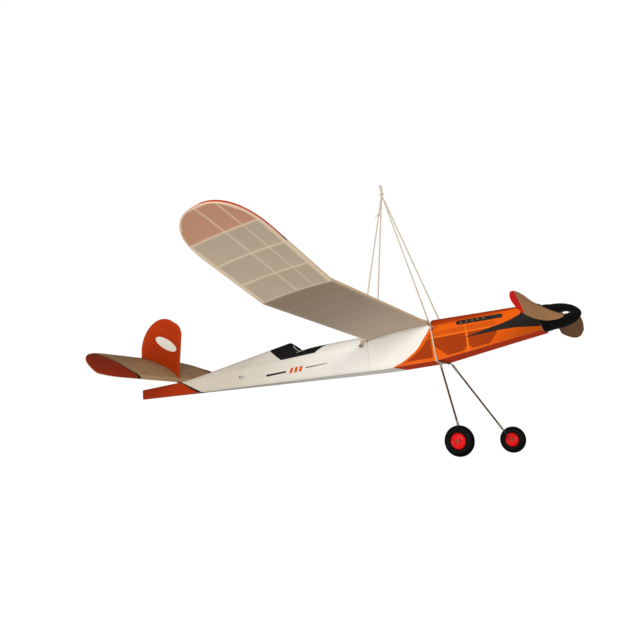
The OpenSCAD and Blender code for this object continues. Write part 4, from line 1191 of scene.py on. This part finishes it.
BAMBOO = bamboo()
legs, wire, bind = Shape(), Shape(), Shape()
for side in (1, -1):
    start = LEG_TOP
    n = 40
    def leg_r(t):
        z = t * LEG_LEN
        r = 1.5
        for h in (0.28, 0.55, 0.83):
            r += 0.16 * math.exp(-((t - h) / 0.008) ** 2)
        return r
    legs.tube([side_of(start + LEG_DIR * LEG_LEN * i / 60, side) for i in range(61)], leg_r, 14)
    a = start + LEG_DIR * (LEG_LEN - 14)
    corner = []
    out = Vector((0, 1, 0))
    r = 2.5
    p0, p1 = KNEE - LEG_DIR * r, KNEE + out * r
    for k in range(7):
        t = k / 6
        corner.append((p0 * (1 - t) ** 2 + KNEE * 2 * t * (1 - t) + p1 * t * t))
    path = [a, start + LEG_DIR * LEG_LEN] + corner + [Vector((AX, 134, AXLE_Z))]
    wire.tube([side_of(p, side) for p in path], 0.8, 12)
    for s0 in (1, LEG_LEN - 16):
        turns = 22
        for k in range(turns):
            c = start + LEG_DIR * (s0 + 0.3 + 0.62 * k)
            c2 = c + LEG_DIR * 0.34
            ring = [side_of(c + (c2 - c) * q, side) for q in (0, 0.5, 1)]
            bind.tube([side_of(c - LEG_DIR * 0.3, side), side_of(c - LEG_DIR * 0.12, side),
                       side_of(c + LEG_DIR * 0.12, side), side_of(c + LEG_DIR * 0.3, side)],
                      lambda t: 2.0 if 0.2 < t < 0.8 else 1.62, 16)
cross_top = LEG_TOP - LEG_DIR * 3
path = []
top_in = LEG_TOP + LEG_DIR * 11
arc = []
inward = Vector((0, -1, 0))
p0, p1 = cross_top + LEG_DIR * 2, cross_top + inward * 2
for k in range(7):
    t = k / 6
    arc.append(p0 * (1 - t) ** 2 + cross_top * 2 * t * (1 - t) + p1 * t * t)
half = [top_in] + arc
path = [tuple(p) for p in half] + [side_of(p, -1) for p in reversed(half)]
wire.tube(path, 0.8, 12)
legs.make("bamboo_legs", "airframe", BAMBOO, replaces=("gear_legs",), slot="bamboo")
wire.make("bent_wire", "airframe", STEEL, replaces=("gear_wire",), slot="steel_wire")


def thread():
    m = Mat("thread")
    x, y, z = m.xyz()
    n = m.noise(m.vec(x, y, z), 2.0, 3)
    m.bump(n, 0.08)
    return m.done(m.mix(n, srgb(176, 168, 150), srgb(130, 120, 104)), 0.6)


bind.make("thread_binding", "airframe", thread(), replaces=("leg_bindings",), slot="thread")


# ------------------------------------------------------------------ cord
def cotton():
    m = Mat("cotton_cord")
    x, y, z = m.xyz()
    v = m.vec(x, y, z)
    n = m.noise(v, 1.5, 4, 0.7)
    col = m.mix(n, srgb(224, 210, 190), srgb(190, 172, 148))
    m.bump(m.noise(v, 5.0, 3, 0.7), 0.12)
    return m.done(col, 0.85, Sheen_Weight=0.3)


COTTON = cotton()
HOOK_Z = 491.0
KNOT = Vector((X(303), 0, HOOK_Z - 15))
SHOULDER = Vector((X(231), 27.9, 216))
BELLY = Vector((X(227.5), 27.9, 154.8))


def resample(path, gap):
    pts = [Vector(p) for p in path]
    out = [pts[0]]
    for a, b in zip(pts, pts[1:]):
        n = max(1, int((b - a).length / gap))
        out += [a.lerp(b, k / n) for k in range(1, n + 1)]
    return out


def twisted(sh, path, r=1.4, pitch=7.0, gap=1.4):
    """Three plies laid round each other along a path."""
    pts = resample(path, gap)
    t = (pts[1] - pts[0]).normalized()
    n = t.cross(Vector((0.2, 1, 0.1))).normalized()
    frames, length = [], 0.0
    for i, p in enumerate(pts):
        a = (pts[i] - pts[i - 1]).normalized() if i else t
        b = (pts[i + 1] - pts[i]).normalized() if i < len(pts) - 1 else a
        t = (a + b).normalized()
        n = (n - t * n.dot(t)).normalized()
        if i:
            length += (pts[i] - pts[i - 1]).length
        frames.append((p, n.copy(), t.cross(n), length))
    for ply in range(3):
        line = []
        for p, n1, n2, s in frames:
            a = 2 * math.pi * (s / pitch + ply / 3)
            line.append(p + (n1 * math.cos(a) + n2 * math.sin(a)) * r * 0.42)
        sh.tube(line, r * 0.58, 6)


def sagged(a, b, amount, n=14):
    out = []
    for k in range(n + 1):
        t = k / n
        p = a.lerp(b, t)
        out.append(p + Vector((0, 0, -amount * 4 * t * (1 - t))))
    return out


cord = Shape()
for side in (1, -1):
    s = lambda p: Vector((p[0], side * p[1], p[2]))
    top = KNOT + Vector((-(X(303) - X(231)) * 0.0, 0, 0))
    front = [KNOT + (s(SHOULDER) - KNOT).normalized() * 3.6, s(SHOULDER), s(BELLY) + Vector((0, 0, 1.2)),
             s(BELLY) + Vector((0, -0.25 * side, 0.25)), s(BELLY) + Vector((0, -1.2 * side, 0)),
             Vector((BELLY[0], 0, BELLY[2]))]
    twisted(cord, front)
    tie = Vector((X(362.6), side * 28.1, 204.3 + 1.6 + 1.15))
    twisted(cord, [KNOT + (tie - KNOT).normalized() * 3.6, tie + Vector((0, 0, 4)), tie])
    wrap = []
    for k in range(17):
        a = math.radians(90 + 360 * k / 16)
        wrap.append(Vector((X(362.6) + 2.75 * math.cos(a), side * (28.1 + 1.9 * k / 16),
                            204.3 + 2.75 * math.sin(a))))
    twisted(cord, wrap, gap=0.8)


def knot_path(c, size, turns=2, n=64):
    """A trefoil, which reads as an overhand knot."""
    out = []
    for k in range(n + 1):
        a = 2 * math.pi * k / n
        out.append(c + Vector((math.sin(a) + 2 * math.sin(2 * a), math.sin(3 * a) * 1.3,
                               math.cos(a) - 2 * math.cos(2 * a))) * size)
    return out


small = Vector((X(362.6), -28.1, 207.05)).lerp(KNOT, 0.86)
twisted(cord, knot_path(small, 0.72), r=0.9, gap=0.6)
tail_end = [small, small + Vector((-1.6, -2.2, -0.6)), small + Vector((-3.4, -3.6, -2.6)),
            small + Vector((-4.6, -4.4, -5.4))]
twisted(cord, tail_end, r=0.9, gap=0.9)
cord.make("cord_strands", "airframe", COTTON, replaces=("cord_harness",), slot="cotton")
loop = Shape()
twisted(loop, knot_path(KNOT, 1.15), r=0.95, gap=0.6)
twisted(loop, knot_path(KNOT + Vector((0.3, 0.4, 0.8)), 0.8), r=0.95, gap=0.6)
ring = []
for k in range(41):
    a = math.radians(-90 + 360 * k / 40)
    ring.append(KNOT + Vector((0.4 * math.sin(2 * a), 3.4 * math.cos(a) * (1 + 0.25 * math.sin(a)),
                               4.2 + 6.0 + 6.6 * math.sin(a))))
twisted(loop, ring, gap=0.9)
loop.make("loop_and_knot", "airframe", COTTON, replaces=("hanging_loop",), slot="cotton")


# ------------------------------------------------------------------ cockpit details
def arch_point(s, a, inset, lift=0.0):
    w = at(PLAN, s) + SKIN - inset
    rise = max(ridge(min(s, 797)), 1.0) - inset
    return Vector((X(s), w * math.cos(a), at(TOP, s) + lift + rise * math.sin(a)))


def head_face():
    """The headrest's front: a closed plate following the fairing's arch."""
    sh = Shape()
    front = []
    for k in range(25):
        a = math.pi * k / 24
        z = 214.0
        for _ in range(6):
            s = HEAD_FRONT(z)
            z = at(TOP, s) + (max(ridge(s), 1) - 0.75) * math.sin(a)
        front.append((X(s), (at(PLAN, s) + SKIN - 0.75) * math.cos(a), z + 0.05))
    back = [(x - 1.4, y, z) for x, y, z in front]
    n = len(front)
    faces = [tuple(range(n)), tuple(reversed(range(n, 2 * n)))]
    faces += [(j, j + n, (j + 1) % n + n, (j + 1) % n) for j in range(n)]
    sh.add(front + back, faces)
    o = sh.make("headrest_face", "airframe", DARK_TRIM, slot="black_finish", smooth=False)


head_face()


def piping(name, pts, r, material):
    sh = Shape()
    sh.tube(pts, r, 8)
    return sh.make(name, "airframe", material, slot="cotton")


def leather():
    m = Mat("pad_leather")
    x, y, z = m.xyz()
    v = m.vec(x, y, z)
    n = m.noise(v, 1.0, 4, 0.7)
    m.bump(n, 0.25)
    return m.done(m.mix(n, srgb(34, 30, 29), srgb(20, 18, 18)), 0.5)


def pad():
    lean = math.atan2(35.9, 38.1)
    c = Vector((X(HEAD_FRONT(229)), 0, 229))
    fwd = Vector((math.cos(lean), 0, math.sin(lean)))
    up = Vector((-math.sin(lean), 0, math.cos(lean)))
    sh = Shape()
    rings = []
    prof = [(0.15, 0.2), (0.2, 0.86), (0.8, 0.98), (1.6, 1.0), (2.4, 0.93), (2.95, 0.75), (3.1, 0.45),
            (3.15, 0.08)]
    for h, k in prof:
        rings.append([tuple(c + fwd * h + Vector((0, 7.6 * k * math.cos(a), 0)) + up * 8.6 * k * math.sin(a))
                      for a in (2 * math.pi * j / 40 for j in range(40))])
    sh.loft(rings)
    sh.make("headrest_cushion", "airframe", leather(), replaces=("headrest_pad",), slot="black_finish")
    pts = [c + fwd * 1.2 + Vector((0, 7.9 * math.cos(a), 0)) + up * 8.9 * math.sin(a)
           for a in (2 * math.pi * j / 48 for j in range(49))]
    piping("headrest_piping", pts, 0.8, CREAM)


pad()
rim = []
for side in (1, -1):
    pts = []
    for k in range(25):
        s = lerp(457, 506.2, k / 24)
        z = [zz for zz in [at([(b, a) for a, b in reversed(SILL)], s)]][0]
        f = min(max((z - at(TOP, s)) / 15.0, 0), 1)
        y = (at(PLAN, s) + SKIN - 0.4) * math.sqrt(max(1 - f * f, 0.0))
        pts.append(Vector((X(s), side * y, z)))
    rim.append(pts)
path = list(reversed(rim[0])) + rim[1]
piping("cockpit_piping", [tuple(p) for p in path], 0.6, CREAM)


# ------------------------------------------------------------------ the CAD's own pieces
dress(BALSA, "longerons", "uprights", "cross_members", "diagonal_braces", "nose_stringers",
      "nose_sheeting", "nose_former", "deck_formers", "dowel_plates", "peg_plates",
      "wing_leading_edge", "wing_trailing_edge", "wing_spars", "wing_ribs", "dihedral_braces",
      "wing_tip_bows", "stab_frame")
dress(ORANGE_WOOD, "stern_block")
dress(BLACK, "exhaust_panels", "cockpit_floor", "nose_plug", "spinner_backplate", "prop_hub")
dress(HARDWOOD, "wing_dowels", "exhaust_stubs")
dress(ALU, "rear_motor_peg", "hinge_tube")
dress(STEEL, "prop_shaft", "hinge_wire")
dress(BRASS, "wheel_retainers", "shaft_bush", "thrust_washers")


def rubber():
    m = Mat("band_rubber")
    x, y, z = m.xyz()
    v = m.vec(x, y, z)
    n = m.noise(v, 0.8, 3)
    m.bump(n, 0.05)
    return m.done(m.mix(n, srgb(196, 164, 118), srgb(164, 130, 88)), 0.5, Subsurface_Weight=0.05)


dress(rubber(), "wing_bands", "rubber_motor")


# ------------------------------------------------------------------ stage
def stage():
    me = bpy.data.meshes.new("floor")
    s = 60.0
    me.from_pydata([(-s, -s, -1.3), (s, -s, -1.3), (s, s, -1.3), (-s, s, -1.3)], [], [(0, 1, 2, 3)])
    o = bpy.data.objects.new("floor", me)
    bpy.context.scene.collection.objects.link(o)
    m = Mat("floor_pale")
    x, y, z = m.xyz()
    n = m.noise(m.vec(x * 0.002, y * 0.002, 0.0), 1.0, 2)
    glow = m.mix(n, (1.0, 1.0, 1.0, 1), (0.97, 0.97, 0.965, 1))
    m.put(m.b.inputs["Emission Color"], glow)
    m.b.inputs["Emission Strength"].default_value = 1.0
    me.materials.append(m.done((0.1, 0.1, 0.1, 1), 0.9, Specular_IOR_Level=0.0))
    o.visible_diffuse = False
    o.visible_glossy = False
    world = bpy.data.worlds.new("studio")
    bpy.context.scene.world = world
    world.use_nodes = True
    tree = world.node_tree
    sky = tree.nodes["Background"]
    sky.inputs[0].default_value = (1.0, 1.0, 0.99, 1)
    # the backdrop is bright to the camera, softer as a light, and nearly dark in reflections
    path = tree.nodes.new("ShaderNodeLightPath")
    seen = tree.nodes.new("ShaderNodeMapRange")
    seen.inputs["To Min"].default_value = 0.56
    seen.inputs["To Max"].default_value = 1.02
    tree.links.new(path.outputs["Is Camera Ray"], seen.inputs["Value"])
    shade = tree.nodes.new("ShaderNodeMapRange")
    shade.inputs["To Max"].default_value = 0.04
    tree.links.new(path.outputs["Is Glossy Ray"], shade.inputs["Value"])
    tree.links.new(seen.outputs[0], shade.inputs["To Min"])
    tree.links.new(shade.outputs[0], sky.inputs[1])

    def area(name, loc, size, power, target=(0.05, 0, 0.2), color=(1, 1, 1)):
        d = bpy.data.lights.new(name, "AREA")
        d.shape = "DISK"
        d.size = size
        d.energy = power
        d.color = color
        ob = bpy.data.objects.new(name, d)
        ob.location = loc
        ob.rotation_euler = (Vector(target) - Vector(loc)).to_track_quat("-Z", "Y").to_euler()
        bpy.context.scene.collection.objects.link(ob)
    area("key", (1.5, -2.3, 0.75), 0.9, 36, color=(1.0, 0.965, 0.93))
    area("fill", (-1.2, -2.4, -0.25), 1.2, 20, color=(1.0, 0.98, 0.95))


stage()
bpy.context.scene.view_settings.view_transform = "Standard"
cam_data = bpy.data.cameras.new("camera")
cam_data.sensor_width = 36
cam_data.lens = 38.7
cam_data.clip_start = 0.01
cam = bpy.data.objects.new("camera", cam_data)
right = Vector((0.8310, 0.548, -0.0926)).normalized()
up = Vector((0.1964, -0.135, 0.9716))
up = (up - right * up.dot(right)).normalized()
back = right.cross(up)
cam.matrix_world = Matrix(((right[0], up[0], back[0], HALF * MM + 0.2068),
                           (right[1], up[1], back[1], -1.0577),
                           (right[2], up[2], back[2], -0.0072),
                           (0, 0, 0, 1)))
bpy.context.scene.collection.objects.link(cam)
bpy.context.scene.camera = cam
